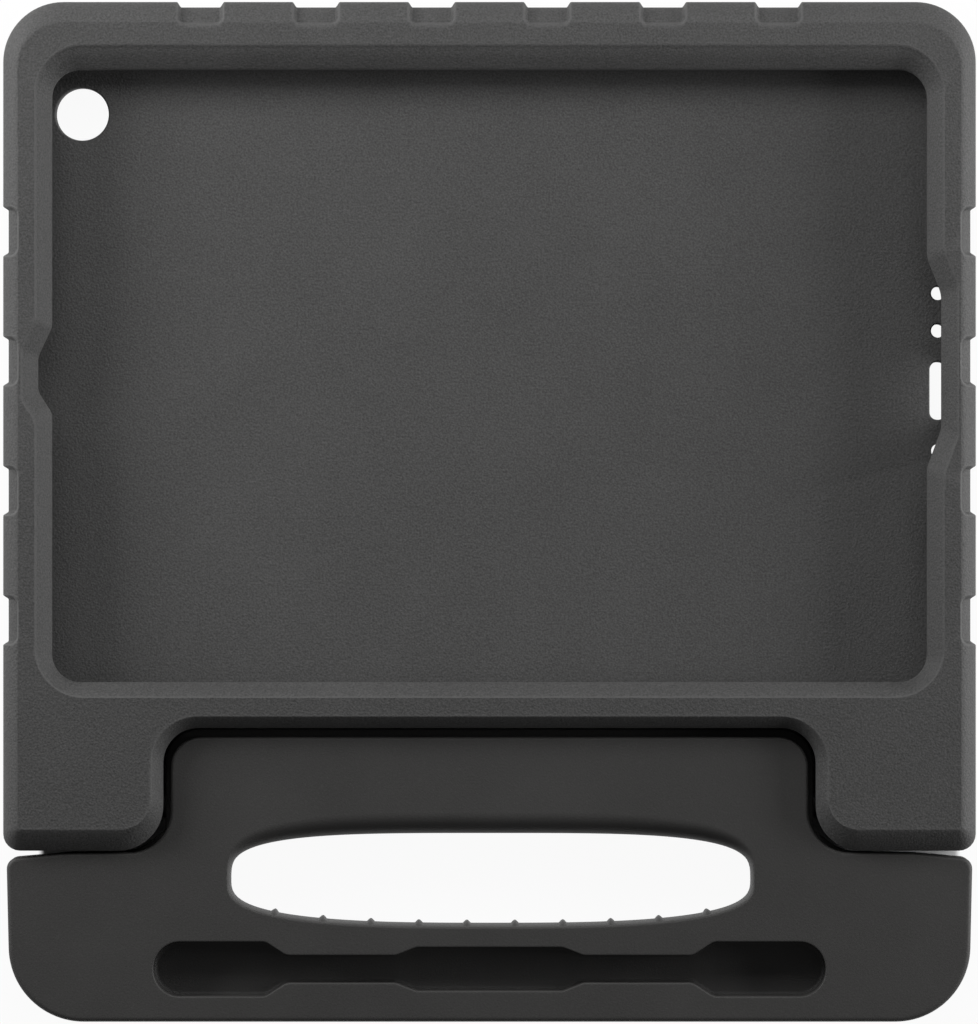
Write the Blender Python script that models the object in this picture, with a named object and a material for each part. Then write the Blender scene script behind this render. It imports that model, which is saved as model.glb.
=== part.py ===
"""Shockproof foam case with a carrying handle that folds back as a stand.

The case lies on its back: +Z is the side with the window, +Y is the long edge away from
the handle, +X is the end with the charging port. The back face lies on z = 0.
"""

import math

import bmesh
import bpy
from mathutils import Vector

GAP = 0.0003
RUN_CLEARANCE = 0.0001
OVERCUT = 0.001

# What the pocket is made to hold
TABLET_LENGTH = 0.240
TABLET_WIDTH = 0.1695
TABLET_THICKNESS = 0.0075

# Pocket
POCKET_X = -0.0015
POCKET_Y = 0.035
POCKET_PLAY = 0.001
POCKET_DEPTH_PLAY = 0.0005
POCKET_R = 0.010
POCKET_LEFT = POCKET_X - (TABLET_LENGTH + POCKET_PLAY) / 2
POCKET_RIGHT = POCKET_X + (TABLET_LENGTH + POCKET_PLAY) / 2
POCKET_LOW = POCKET_Y - (TABLET_WIDTH + POCKET_PLAY) / 2
POCKET_HIGH = POCKET_Y + (TABLET_WIDTH + POCKET_PLAY) / 2

# Heights, from the back up: back wall, pocket, lip, bevel
BACK_T = 0.0098
LIP_T = 0.0017
BEVEL_DEPTH = 0.0045
POCKET_TOP = BACK_T + TABLET_THICKNESS + POCKET_DEPTH_PLAY
CASE_T = POCKET_TOP + LIP_T + BEVEL_DEPTH

# Case outline
END_WALL = 0.0092
TOP_WALL = 0.01525
BRIDGE = 0.00715
LEG_W = 0.0425
CASE_HALF_W = TABLET_LENGTH / 2 + END_WALL
CASE_TOP = POCKET_HIGH + TOP_WALL
NOTCH_HALF_W = CASE_HALF_W - LEG_W
NOTCH_TOP = POCKET_LOW - BRIDGE
CASE_CORNER_R = 0.016
LEG_OUTER_R = 0.0045
LEG_INNER_R = 0.012
LEG_FRONT_R = 0.0075
NOTCH_R = 0.0093
FRONT_FILLET_H = 0.0050
FILLET_SIDE = 0.0041
FILLET_TOP = 0.0056
FILLET_LEG = 0.0058
FILLET_NOTCH = 0.0032
BACK_FILLET = 0.0025

# Window, with its bevel and its two scoops
RIM_SIDE = 0.0130
RIM_TOP = 0.0181
RIM_BOTTOM = 0.0122
WINDOW_HALF_W = CASE_HALF_W - RIM_SIDE
WINDOW_TOP = CASE_TOP - RIM_TOP
WINDOW_BOTTOM = NOTCH_TOP + RIM_BOTTOM
WINDOW_R = 0.0075
BEVEL_SIDE = 0.0044
BEVEL_TOP = 0.0066
BEVEL_BOTTOM = 0.0039
BEVEL_R = 0.013
BEVEL_ROUND = 0.0005
CAMERA_SCOOP_OFFSETS = (0.0141, 0.0062, -0.0031, -0.0087)
CAMERA_SCOOP_DEPTH = 0.0037
CAMERA_SCOOP_R = 0.0048
PORT_SCOOP_OFFSETS = (-0.0207, -0.0103, 0.0257, 0.0353)
PORT_SCOOP_DEPTH = 0.0041
PORT_SCOOP_R = 0.008
SCOOP_SPREAD = 0.0019

# Sound chamber, sound holes, ports and camera hole
PORT_BELOW_MIDDLE = 0.0027
PORT_Y = POCKET_Y - PORT_BELOW_MIDDLE
CHAMBER_REACH = 0.0036
CHAMBER_BELOW = 0.0178
CHAMBER_ABOVE = 0.0322
CHAMBER_R = 0.001
SOUND_OUT = 0.0005
SOUND_X = POCKET_RIGHT + SOUND_OUT
SOUND_D = 0.0036
SOUND_OFFSETS = (0.016, 0.026)
PORT_SLOT_L = 0.0154
PORT_SLOT_W = 0.0044
PORT_L = 0.018
PORT_H = 0.0060
PORT_R = 0.0025
JACK_UP = 0.01025
JACK_Y = POCKET_LOW + JACK_UP
JACK_D = 0.0070
CAMERA_IN = 0.0135
CAMERA_DOWN = 0.01425
CAMERA_X = POCKET_LEFT + CAMERA_IN
CAMERA_Y = POCKET_HIGH - CAMERA_DOWN
CAMERA_D = 0.014
CAMERA_MOUTH_D = 0.020
CAMERA_MOUTH_H = 0.0030

# Grip channels across the edges
CHANNEL_DEPTH = 0.00145
CHANNEL_DRAFT = 0.0007
TOP_CHANNELS = 6
TOP_CHANNEL_PITCH = 0.0307
TOP_CHANNEL_W = 0.0114
SIDE_CHANNELS = 4
SIDE_CHANNEL_PITCH = 0.0344
SIDE_CHANNELS_DOWN = 0.0121
SIDE_CHANNEL_MIDDLE = POCKET_Y - SIDE_CHANNELS_DOWN
SIDE_CHANNEL_W = 0.0122
CHANNEL_RUN_FRONT = 0.0006
CHANNEL_RUN_BACK = 0.0030

# Hinge: the legs end in an arc about the axis, and the tongue reaches the other way
TONGUE_PLAY_SIDE = 0.0020
TONGUE_PLAY_TOP = 0.0024
TONGUE_REACH = 0.0182
LEG_REACH = 0.0120
TONGUE_HALF_W = NOTCH_HALF_W - TONGUE_PLAY_SIDE
TONGUE_TOP = NOTCH_TOP - TONGUE_PLAY_TOP
AXIS_Y = TONGUE_TOP - TONGUE_REACH
AXIS_Z = 0.0060
LEG_END = AXIS_Y - LEG_REACH
ROD_D = 0.0040
ROD_CHAMFER = 0.0004
ROD_IN_LEG = 0.0213
ROD_HALF_L = NOTCH_HALF_W + ROD_IN_LEG
BUSH_D = 0.0070
BUSH_L = 0.0230
FLANGE_D = 0.0086
FLANGE_T = 0.0010
BLIND_END = 0.0020

# Handle outline
HANDLE_BACK = 0.0006
FRONT_STEP = 0.0056
HANDLE_FRONT = CASE_T - FRONT_STEP
TONGUE_R = 0.008
FLARE_R = 0.011
SHOULDER_GAP = 0.0004
SHOULDER_DIP = 0.0003
SHOULDER_SLOPE = 0.0017
SHOULDER_BEND_R = 0.030
SHOULDER_R = 0.003
SHOULDER_IN = LEG_END - SHOULDER_GAP
SHOULDER_OUT = SHOULDER_IN - SHOULDER_SLOPE
HANDLE_SET_IN = 0.0008
HANDLE_HALF_W = CASE_HALF_W - HANDLE_SET_IN
HANDLE_TAPER = 0.0010
HANDLE_END_R = 0.020
HANDLE_FRONT_ROUND = 0.0012
HANDLE_BACK_ROUND = 0.0030

# Behind the groove round the tongue the handle is wider, and closes the notch. A ledge at the
# groove's foot reaches towards the legs' inner corners, no further than it can turn behind them
DEEP_PLAY = 0.0004
DEEP_FRONT = 0.0110
LEDGE_T = 0.0025
STEP_DRAFT = 0.0002
DEEP_HALF_W = NOTCH_HALF_W - DEEP_PLAY
DEEP_TOP = NOTCH_TOP - DEEP_PLAY
DEEP_R = NOTCH_R - DEEP_PLAY
DEEP_CORNER_R = 0.0015
LEDGE_BELOW_AXIS = 0.0065
LEDGE_REACH = 0.0072
LEDGE_R = 0.014
BACK_BELOW_AXIS = 0.0093
BACK_REACH = 0.0029
BACK_R = 0.0035
FLANGE_PLAY = 0.0004

# Grip opening
GRIP_X = 0.00035
GRIP_BELOW_AXIS = 0.0203
GRIP_IN_TONGUE = 0.0154
GRIP_Y = AXIS_Y - GRIP_BELOW_AXIS
GRIP_HALF_L = TONGUE_HALF_W - GRIP_IN_TONGUE
GRIP_UP = 0.0128
GRIP_DOWN = 0.0114
GRIP_UP_POWER = 3.6
GRIP_DOWN_POWER = 2.9
GRIP_BROW = 0.0055
GRIP_BROW_H = 0.0065
GRIP_SIDE_ROUND = 0.0014
GRIP_SILL_ROUND = 0.0022
GRIP_BACK_ROUND = 0.0020
RIDGES = 10
RIDGE_SHARE = 0.1847
RIDGE_PITCH = GRIP_HALF_L * RIDGE_SHARE
RIDGE_H = 0.0011
RIDGE_BASE = 0.0026

# Well for a stylus
WELL_BELOW_GRIP = 0.0232
WELL_FROM_SIDE = 0.0390
WELL_END_L = 0.0299
WELL_RAMP_L = 0.0055
WELL_TO_FOOT = 0.0140
WELL_Y = GRIP_Y - WELL_BELOW_GRIP
WELL_END_X = HANDLE_HALF_W - WELL_FROM_SIDE
WELL_END_H = 0.0073
WELL_RAMP_X = WELL_END_X - WELL_END_L
WELL_NECK_FAR_X = WELL_RAMP_X - WELL_RAMP_L
WELL_NECK_H = 0.0037
WELL_MIDDLE_X = 0.0195
WELL_NECK_NEAR_X = WELL_MIDDLE_X + WELL_RAMP_L
WELL_MIDDLE_H = 0.00585
WELL_DEPTH = 0.0090
WELL_ROUND = 0.0005
WELL_BEND_R = 0.0035
HANDLE_END = WELL_Y - WELL_TO_FOOT


def clear_scene():
    for obj in list(bpy.data.objects):
        bpy.data.objects.remove(obj, do_unlink=True)


def principled(name, colour, roughness, metallic=0.0):
    material = bpy.data.materials.new(name)
    material.use_nodes = True
    shader = material.node_tree.nodes["Principled BSDF"]
    shader.inputs["Base Color"].default_value = (*colour, 1.0)
    shader.inputs["Roughness"].default_value = roughness
    shader.inputs["Metallic"].default_value = metallic
    material.diffuse_color = (*colour, 1.0)
    return material


def outline(corners, steps):
    """Closed outline through (x, y, radius) corners, each rounded by an arc of so many steps."""
    points = []
    count = len(corners)
    for i, (x, y, radius) in enumerate(corners):
        here = Vector((x, y))
        back = (Vector(corners[i - 1][:2]) - here).normalized()
        ahead = (Vector(corners[(i + 1) % count][:2]) - here).normalized()
        half = back.angle(ahead) / 2
        centre = here + (back + ahead).normalized() * radius / math.sin(half)
        start = here + back * radius / math.tan(half) - centre
        end = here + ahead * radius / math.tan(half) - centre
        turn = start.angle_signed(end)
        for k in range(steps[i] + 1):
            angle = -turn * k / steps[i]
            c, s = math.cos(angle), math.sin(angle)
            points.append(
                (centre.x + start.x * c - start.y * s, centre.y + start.x * s + start.y * c)
            )
    return points


def at_height(points, z):
    return [(x, y, z) for x, y in points]


def mesh_object(name, mesh, material=None):
    obj = bpy.data.objects.new(name, mesh)
    bpy.context.scene.collection.objects.link(obj)
    if material:
        mesh.materials.append(material)
    return obj


def loft(name, loops, material=None):
    """A closed solid through loops of equal length, counted anticlockwise and going up."""
    bm = bmesh.new()
    rings = [[bm.verts.new(p) for p in loop] for loop in loops]
    for lower, upper in zip(rings, rings[1:]):
        for i in range(len(lower)):
            j = (i + 1) % len(lower)
            bm.faces.new((lower[i], lower[j], upper[j], upper[i]))
    bm.faces.new(list(reversed(rings[0])))
    bm.faces.new(rings[-1])
    mesh = bpy.data.meshes.new(name)
    bm.to_mesh(mesh)
    bm.free()
    return mesh_object(name, mesh, material)


def as_cutter(obj):
    obj.hide_render = True
    obj.display_type = "WIRE"
    return obj


def cut(target, *cutters):
    for cutter in cutters:
        as_cutter(cutter)
        modifier = target.modifiers.new(cutter.name, "BOOLEAN")
        modifier.operation = "DIFFERENCE"
        modifier.solver = "EXACT"
        modifier.object = cutter


def joined(name, objects):
    """Several closed cutters that don't touch each other, as one."""
    bm = bmesh.new()
    for obj in objects:
        bm.from_mesh(obj.data)
        bpy.data.objects.remove(obj, do_unlink=True)
    mesh = bpy.data.meshes.new(name)
    bm.to_mesh(mesh)
    bm.free()
    return mesh_object(name, mesh)


def smooth(obj, degrees=35):
    obj.data.shade_smooth()
    obj.data.set_sharp_from_angle(angle=math.radians(degrees))


def ring(centre, radius, segments, place):
    """Points round a circle; place turns its two coordinates into a point."""
    points = []
    for k in range(segments):
        a = 2 * math.pi * k / segments
        points.append(place(centre[0] + radius * math.cos(a), centre[1] + radius * math.sin(a)))
    return points


def cylinder(name, axis, radius, start, end, centre, segments, material=None):
    """A cylinder along X or Z; centre gives the other two coordinates in their order."""
    loops = []
    for at in (start, end):
        if axis == "X":
            loops.append(ring(centre, radius, segments, lambda u, v, at=at: (at, u, v)))
        else:
            loops.append(ring(centre, radius, segments, lambda u, v, at=at: (u, v, at)))
    return loft(name, loops, material)


# Case body


def body_outline(side, top, leg, notch_side, notch_top, shrink):
    """The case seen from the front: a rounded plate with two legs; the values are its edges."""
    r_top = CASE_CORNER_R - shrink
    r_leg = max(LEG_OUTER_R - shrink, 0.0011)
    r_inner = max(LEG_INNER_R - shrink, LEG_FRONT_R)
    r_notch = NOTCH_R + notch_side - NOTCH_HALF_W
    return outline(
        [
            (-side, leg, r_leg),
            (-notch_side, leg, r_inner),
            (-notch_side, notch_top, r_notch),
            (notch_side, notch_top, r_notch),
            (notch_side, leg, r_inner),
            (side, leg, r_leg),
            (side, top, r_top),
            (-side, top, r_top),
        ],
        (4, 8, 7, 7, 8, 4, 10, 10),
    )


def leg_end_at(z):
    """The legs end in an arc about the hinge axis on the back half, so the shoulders turn past."""
    below = AXIS_Z - z
    if below <= 0:
        return LEG_END
    return AXIS_Y - math.sqrt(LEG_REACH**2 - below**2)


def soft_edge(steps, power=1.5):
    """(inset, rise) shares of an edge between a fillet and a chamfer, from the wall inward."""
    out = []
    for k in range(steps + 1):
        a = math.pi / 2 * k / steps
        out.append((1 - math.cos(a) ** (2 / power), math.sin(a) ** (2 / power)))
    return out


def body_levels():
    loops = []
    for k in range(4):
        a = math.pi / 2 * k / 3
        inset, z = BACK_FILLET * (1 - math.sin(a)), BACK_FILLET * (1 - math.cos(a))
        loops.append((z, inset, inset, None, inset, inset))
    loops.append((AXIS_Z, 0, 0, None, 0, 0))
    base = CASE_T - FRONT_FILLET_H
    for share, rise in soft_edge(6):
        loops.append(
            (
                base + FRONT_FILLET_H * rise,
                FILLET_SIDE * share,
                FILLET_TOP * share,
                FILLET_LEG * share,
                FILLET_NOTCH * share,
                FILLET_NOTCH * share,
            )
        )
    return loops


def body_block(material):
    loops = []
    for z, side, top, leg, notch_side, notch_top in body_levels():
        leg_end = leg_end_at(z) if leg is None else LEG_END + leg
        points = body_outline(
            CASE_HALF_W - side,
            CASE_TOP - top,
            leg_end,
            NOTCH_HALF_W + notch_side,
            NOTCH_TOP + notch_top,
            side,
        )
        loops.append(at_height(points, z))
    return loft("case_shell", loops, material)


def window_outline(grow_side, grow_top, grow_bottom, radius, spread):
    side = WINDOW_HALF_W + grow_side
    cam = side + CAMERA_SCOOP_DEPTH
    port = side + PORT_SCOOP_DEPTH
    c1, c2, c3, c4 = (POCKET_Y + offset for offset in CAMERA_SCOOP_OFFSETS)
    p1, p2, p3, p4 = (PORT_Y + offset for offset in PORT_SCOOP_OFFSETS)
    return outline(
        [
            (-side, WINDOW_BOTTOM - grow_bottom, radius),
            (side, WINDOW_BOTTOM - grow_bottom, radius),
            (side, p1 - spread, PORT_SCOOP_R),
            (port, p2 - spread, PORT_SCOOP_R),
            (port, p3 + spread, PORT_SCOOP_R),
            (side, p4 + spread, PORT_SCOOP_R),
            (side, WINDOW_TOP + grow_top, radius),
            (-side, WINDOW_TOP + grow_top, radius),
            (-side, c1 + spread, CAMERA_SCOOP_R),
            (-cam, c2 + spread, CAMERA_SCOOP_R),
            (-cam, c3 - spread, CAMERA_SCOOP_R),
            (-side, c4 - spread, CAMERA_SCOOP_R),
        ],
        (8, 8, 3, 3, 3, 3, 8, 8, 3, 3, 3, 3),
    )


def window_cutter():
    levels = (
        (POCKET_TOP - OVERCUT, 0.0),
        (POCKET_TOP + LIP_T * 0.7, 0.0),
        (POCKET_TOP + LIP_T, 0.06),
        (CASE_T - BEVEL_ROUND, 0.90),
        (CASE_T - BEVEL_ROUND * 0.3, 0.97),
        (CASE_T, 1.04),
        (CASE_T + OVERCUT, 1.04),
    )
    loops = []
    for z, share in levels:
        points = window_outline(
            BEVEL_SIDE * share,
            BEVEL_TOP * share,
            BEVEL_BOTTOM * share,
            WINDOW_R + (BEVEL_R - WINDOW_R) * share,
            SCOOP_SPREAD * share,
        )
        loops.append(at_height(points, z))
    return loft("window_cut", loops)


def pocket_cutter():
    chamber = POCKET_RIGHT + CHAMBER_REACH
    low, high = PORT_Y - CHAMBER_BELOW, PORT_Y + CHAMBER_ABOVE
    points = outline(
        [
            (POCKET_LEFT, POCKET_LOW, POCKET_R),
            (POCKET_RIGHT, POCKET_LOW, POCKET_R),
            (POCKET_RIGHT, low, CHAMBER_R),
            (chamber, low, CHAMBER_R),
            (chamber, high, CHAMBER_R),
            (POCKET_RIGHT, high, CHAMBER_R),
            (POCKET_RIGHT, POCKET_HIGH, POCKET_R),
            (POCKET_LEFT, POCKET_HIGH, POCKET_R),
        ],
        (6, 6, 2, 2, 2, 2, 6, 6),
    )
    return loft("pocket_cut", [at_height(points, z) for z in (BACK_T, POCKET_TOP)])


def edge_section(reach):
    """Points and outward normals around the case's edge, as (in from the wall, height)."""
    path = [((BACK_FILLET + CHANNEL_RUN_BACK, 0.0), (0.0, -1.0))]
    for k in range(4):
        a = math.pi / 2 * k / 3
        point = (BACK_FILLET * (1 - math.sin(a)), BACK_FILLET * (1 - math.cos(a)))
        path.append((point, (-math.sin(a), -math.cos(a))))
    base = CASE_T - FRONT_FILLET_H
    shares = soft_edge(6)
    points = [(reach * s, base + FRONT_FILLET_H * r) for s, r in shares]
    for i, point in enumerate(points):
        a = points[max(i - 1, 0)]
        b = points[min(i + 1, len(points) - 1)]
        run = Vector((b[0] - a[0], b[1] - a[1])).normalized()
        normal = (-run.y, run.x)
        if i == 0:
            normal = (-1.0, 0.0)
        if i == len(points) - 1:
            normal = (0.0, 1.0)
        path.append((point, normal))
    path.append(((reach + CHANNEL_RUN_FRONT, CASE_T), (0.0, 1.0)))
    return path


def channel_cutter(name, reach, width, place):
    """A strip that follows the edge's section; place turns (along, in, height) into a point."""
    rings = []
    for (d, z), (nd, nz) in edge_section(reach):
        inner = (d - nd * CHANNEL_DEPTH, z - nz * CHANNEL_DEPTH)
        outer = (d + nd * OVERCUT, z + nz * OVERCUT)
        a = width / 2 - CHANNEL_DRAFT
        b = width / 2 + CHANNEL_DRAFT * OVERCUT / CHANNEL_DEPTH
        rings.append(
            [
                place(-a, *inner),
                place(a, *inner),
                place(b, *outer),
                place(-b, *outer),
            ]
        )
    obj = loft(name, rings)
    bm = bmesh.new()
    bm.from_mesh(obj.data)
    bmesh.ops.recalc_face_normals(bm, faces=bm.faces)
    bm.to_mesh(obj.data)
    bm.free()
    return obj


def channel_cutters():
    cutters = []
    for i in range(TOP_CHANNELS):
        x = (i - (TOP_CHANNELS - 1) / 2) * TOP_CHANNEL_PITCH
        cutters.append(
            channel_cutter(
                f"top_channel_cut_{i + 1}",
                FILLET_TOP,
                TOP_CHANNEL_W,
                lambda s, d, z, x=x: (x + s, CASE_TOP - d, z),
            )
        )
    for i in range(SIDE_CHANNELS):
        y = SIDE_CHANNEL_MIDDLE + (i - (SIDE_CHANNELS - 1) / 2) * SIDE_CHANNEL_PITCH
        for word, sign in (("left", -1), ("right", 1)):
            cutters.append(
                channel_cutter(
                    f"{word}_channel_cut_{i + 1}",
                    FILLET_SIDE,
                    SIDE_CHANNEL_W,
                    lambda s, d, z, y=y, sign=sign: (sign * (CASE_HALF_W - d), y + s, z),
                )
            )
    return cutters


def round_bar_outline(x, y, half_w, half_h, radius):
    return outline(
        [
            (x - half_w, y - half_h, radius),
            (x + half_w, y - half_h, radius),
            (x + half_w, y + half_h, radius),
            (x - half_w, y + half_h, radius),
        ],
        (4, 4, 4, 4),
    )


def sound_cutters():
    """Four sound holes and a slot through the back wall of the chamber."""
    through = (-OVERCUT, BACK_T + OVERCUT)
    near, far = SOUND_OFFSETS
    cutters = []
    for i, offset in enumerate((-far, -near, near, far)):
        place = (SOUND_X, PORT_Y + offset)
        cutters.append(cylinder(f"sound_cut_{i + 1}", "Z", SOUND_D / 2, *through, place, 20))
    half_w = PORT_SLOT_W / 2
    slot = round_bar_outline(SOUND_X, PORT_Y, half_w, PORT_SLOT_L / 2, half_w * 0.9)
    cutters.append(loft("slot_cut", [at_height(slot, z) for z in through]))
    return cutters


def port_cutters():
    """The charging port through the right wall and the headphone port through the left one."""
    middle = BACK_T + TABLET_THICKNESS / 2
    mouth = round_bar_outline(PORT_Y, middle, PORT_L / 2, PORT_H / 2, PORT_R)
    right = (POCKET_RIGHT + CHAMBER_REACH - OVERCUT, CASE_HALF_W + OVERCUT)
    left = (-CASE_HALF_W - OVERCUT, POCKET_LEFT + OVERCUT)
    return [
        loft("port_cut", [[(x, y, z) for y, z in mouth] for x in right]),
        cylinder("jack_cut", "X", JACK_D / 2, *left, (JACK_Y, middle), 24),
    ]


def camera_cutter():
    """A round hole through the back wall that flares towards the back."""
    rings = []
    for z, d in (
        (-OVERCUT, CAMERA_MOUTH_D),
        (0.0, CAMERA_MOUTH_D),
        (CAMERA_MOUTH_H, CAMERA_D),
        (BACK_T + OVERCUT, CAMERA_D),
    ):
        rings.append(ring((CAMERA_X, CAMERA_Y), d / 2, 32, lambda u, v, z=z: (u, v, z)))
    return loft("rear_camera_cut", rings)


def bush_seat_cutter(name, sign):
    """Blind bore in a leg, open on the leg's inner wall."""
    start = NOTCH_HALF_W - TONGUE_PLAY_SIDE
    end = NOTCH_HALF_W + BUSH_L + BLIND_END
    low, high = sorted((sign * start, sign * end))
    return cylinder(name, "X", BUSH_D / 2 + GAP, low, high, (AXIS_Y, AXIS_Z), 24)


def build_case(material):
    shell = body_block(material)
    cut(shell, window_cutter(), pocket_cutter())
    seats = [bush_seat_cutter(f"seat_cut_{n}", sign) for n, sign in enumerate((-1, 1))]
    openings = [*sound_cutters(), *port_cutters(), camera_cutter(), *seats]
    cut(shell, joined("opening_cuts", openings))
    cut(shell, joined("channel_cuts", channel_cutters()))
    smooth(shell)
    return shell


# Handle


def handle_outline(inset_out, inset_in):
    """The handle from the front: a wide bar with a tongue that fills the case's notch."""
    half = HANDLE_HALF_W - inset_out
    foot = half - HANDLE_TAPER
    flare_end = TONGUE_HALF_W + FLARE_R
    bend = flare_end + (HANDLE_HALF_W - flare_end) / 2
    end = HANDLE_END + inset_out
    tongue, top = TONGUE_HALF_W - inset_in, TONGUE_TOP - inset_in
    r_end = HANDLE_END_R - inset_out
    r_shoulder = max(SHOULDER_R - inset_in, 0.0008)
    r_tongue = TONGUE_R - inset_in
    r_flare = FLARE_R + inset_in
    low, high = SHOULDER_OUT - inset_in, SHOULDER_IN - inset_in
    return outline(
        [
            (-foot, end, r_end),
            (foot, end, r_end),
            (half, low, r_shoulder),
            (bend, high - SHOULDER_DIP, SHOULDER_BEND_R),
            (tongue, high, r_flare),
            (tongue, top, r_tongue),
            (-tongue, top, r_tongue),
            (-tongue, high, r_flare),
            (-bend, high - SHOULDER_DIP, SHOULDER_BEND_R),
            (-half, low, r_shoulder),
        ],
        (10, 10, 5, 3, 8, 6, 6, 8, 3, 5),
    )


def deep_outline(inset, below_axis, reach, radius):
    """The handle behind the groove, where it fills the notch."""
    half = HANDLE_HALF_W - inset
    foot = half - HANDLE_TAPER
    flare_end = TONGUE_HALF_W + FLARE_R
    bend = flare_end + (HANDLE_HALF_W - flare_end) / 2
    end = HANDLE_END + inset
    side, top = DEEP_HALF_W - inset, DEEP_TOP - inset
    corner, flare = AXIS_Y - below_axis - inset, DEEP_HALF_W + reach - inset
    low, high = SHOULDER_OUT - inset, SHOULDER_IN - inset
    r_shoulder = max(SHOULDER_R - inset, 0.0008)
    return outline(
        [
            (-foot, end, HANDLE_END_R - inset),
            (foot, end, HANDLE_END_R - inset),
            (half, low, r_shoulder),
            (bend, high - SHOULDER_DIP, SHOULDER_BEND_R),
            (flare, high, radius),
            (side, corner, DEEP_CORNER_R + inset),
            (side, top, DEEP_R - inset),
            (-side, top, DEEP_R - inset),
            (-side, corner, DEEP_CORNER_R + inset),
            (-flare, high, radius),
            (-bend, high - SHOULDER_DIP, SHOULDER_BEND_R),
            (-half, low, r_shoulder),
        ],
        (10, 10, 5, 3, 4, 3, 6, 6, 3, 4, 3, 5),
    )


def handle_block(material):
    back = (BACK_BELOW_AXIS, BACK_REACH, BACK_R)
    ledge = (LEDGE_BELOW_AXIS, LEDGE_REACH, LEDGE_R)
    loops = []
    for k in range(4):
        a = math.pi / 2 * k / 3
        inset = HANDLE_BACK_ROUND * (1 - math.sin(a))
        z = HANDLE_BACK + HANDLE_BACK_ROUND * (1 - math.cos(a))
        loops.append(at_height(deep_outline(inset, *back), z))
    loops.append(at_height(deep_outline(0.0, *back), DEEP_FRONT - LEDGE_T))
    loops.append(at_height(deep_outline(0.0, *ledge), DEEP_FRONT - LEDGE_T + STEP_DRAFT))
    loops.append(at_height(deep_outline(0.0, *ledge), DEEP_FRONT))
    loops.append(at_height(handle_outline(0.0, 0.0), DEEP_FRONT + STEP_DRAFT))
    for k in range(4):
        a = math.pi / 2 * k / 3
        out = HANDLE_FRONT_ROUND * (1 - math.cos(a))
        z = HANDLE_FRONT - HANDLE_FRONT_ROUND * (1 - math.sin(a))
        loops.append(at_height(handle_outline(out, out * 0.6), z))
    return loft("handle_stand", loops, material)


def grip_loop(side, up, down, ridge, z):
    """The grip opening's outline; up and down grow its two halves, ridge raises the finger ridges."""
    a = GRIP_HALF_L + side
    h_up, h_down = GRIP_UP + up, GRIP_DOWN + down

    def low_y(x):
        share = min(abs(x) / a, 1.0)
        return -h_down * (1 - share**GRIP_DOWN_POWER) ** (1 / GRIP_DOWN_POWER)

    ends = []
    for k in range(8):
        c = math.cos(math.radians(4.7 * k))
        ends.append(a * c ** (2 / GRIP_DOWN_POWER))
    bottom = [(-x, 0.0) for x in ends]
    for i in range(RIDGES):
        x = (i - (RIDGES - 1) / 2) * RIDGE_PITCH
        bottom += [(x - RIDGE_BASE / 2, 0.0), (x, ridge), (x + RIDGE_BASE / 2, 0.0)]
        if i < RIDGES - 1:
            bottom += [(x + RIDGE_PITCH / 3, 0.0), (x + RIDGE_PITCH * 2 / 3, 0.0)]
    bottom += [(x, 0.0) for x in reversed(ends)]
    points = [(GRIP_X + x, GRIP_Y + low_y(x) + lift, z) for x, lift in bottom]
    for k in range(1, 32):
        angle = math.pi * k / 32
        c, s = math.cos(angle), math.sin(angle)
        x = a * math.copysign(abs(c) ** (2 / GRIP_UP_POWER), c)
        points.append((GRIP_X + x, GRIP_Y + h_up * s ** (2 / GRIP_UP_POWER), z))
    return points


def grip_cutter():
    loops = [
        grip_loop(GRIP_BACK_ROUND, GRIP_BACK_ROUND, GRIP_BACK_ROUND, 0.0, HANDLE_BACK - OVERCUT),
        grip_loop(GRIP_BACK_ROUND, GRIP_BACK_ROUND, GRIP_BACK_ROUND, 0.0, HANDLE_BACK),
        grip_loop(
            GRIP_BACK_ROUND * 0.3,
            GRIP_BACK_ROUND * 0.3,
            GRIP_BACK_ROUND * 0.3,
            RIDGE_H * 0.3,
            HANDLE_BACK + GRIP_BACK_ROUND * 0.3,
        ),
        grip_loop(0.0, 0.0, 0.0, RIDGE_H, HANDLE_BACK + GRIP_BACK_ROUND),
        grip_loop(0.0, 0.0, 0.0, RIDGE_H, HANDLE_FRONT - GRIP_BROW_H),
    ]
    steps = 4
    for k in range(1, steps + 1):
        a = math.pi / 2 * k / steps
        share = 1 - math.cos(a)
        rise = math.sin(a)
        loops.append(
            grip_loop(
                GRIP_SIDE_ROUND * share,
                GRIP_BROW * share,
                GRIP_SILL_ROUND * share,
                RIDGE_H * (1 - share),
                HANDLE_FRONT - GRIP_BROW_H * (1 - rise),
            )
        )
    loops.append(
        grip_loop(GRIP_SIDE_ROUND, GRIP_BROW, GRIP_SILL_ROUND, 0.0, HANDLE_FRONT + OVERCUT)
    )
    return loft("grip_cut", loops)


def well_outline(grow):
    half = [
        (WELL_END_X + grow, WELL_END_H + grow, (WELL_END_H + grow) * 0.97),
        (WELL_RAMP_X, WELL_END_H + grow, WELL_BEND_R),
        (WELL_NECK_FAR_X, WELL_NECK_H + grow, WELL_BEND_R),
        (WELL_NECK_NEAR_X, WELL_NECK_H + grow, WELL_BEND_R),
        (WELL_MIDDLE_X, WELL_MIDDLE_H + grow, WELL_BEND_R),
    ]
    steps_half = [8, 3, 3, 3, 3]
    upper = half + [(-x, y, r) for x, y, r in reversed(half)]
    lower = [(x, -y, r) for x, y, r in reversed(upper)]
    corners = [(x, WELL_Y + y, r) for x, y, r in upper + lower]
    return outline(corners, (steps_half + steps_half[::-1]) * 2)


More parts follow.
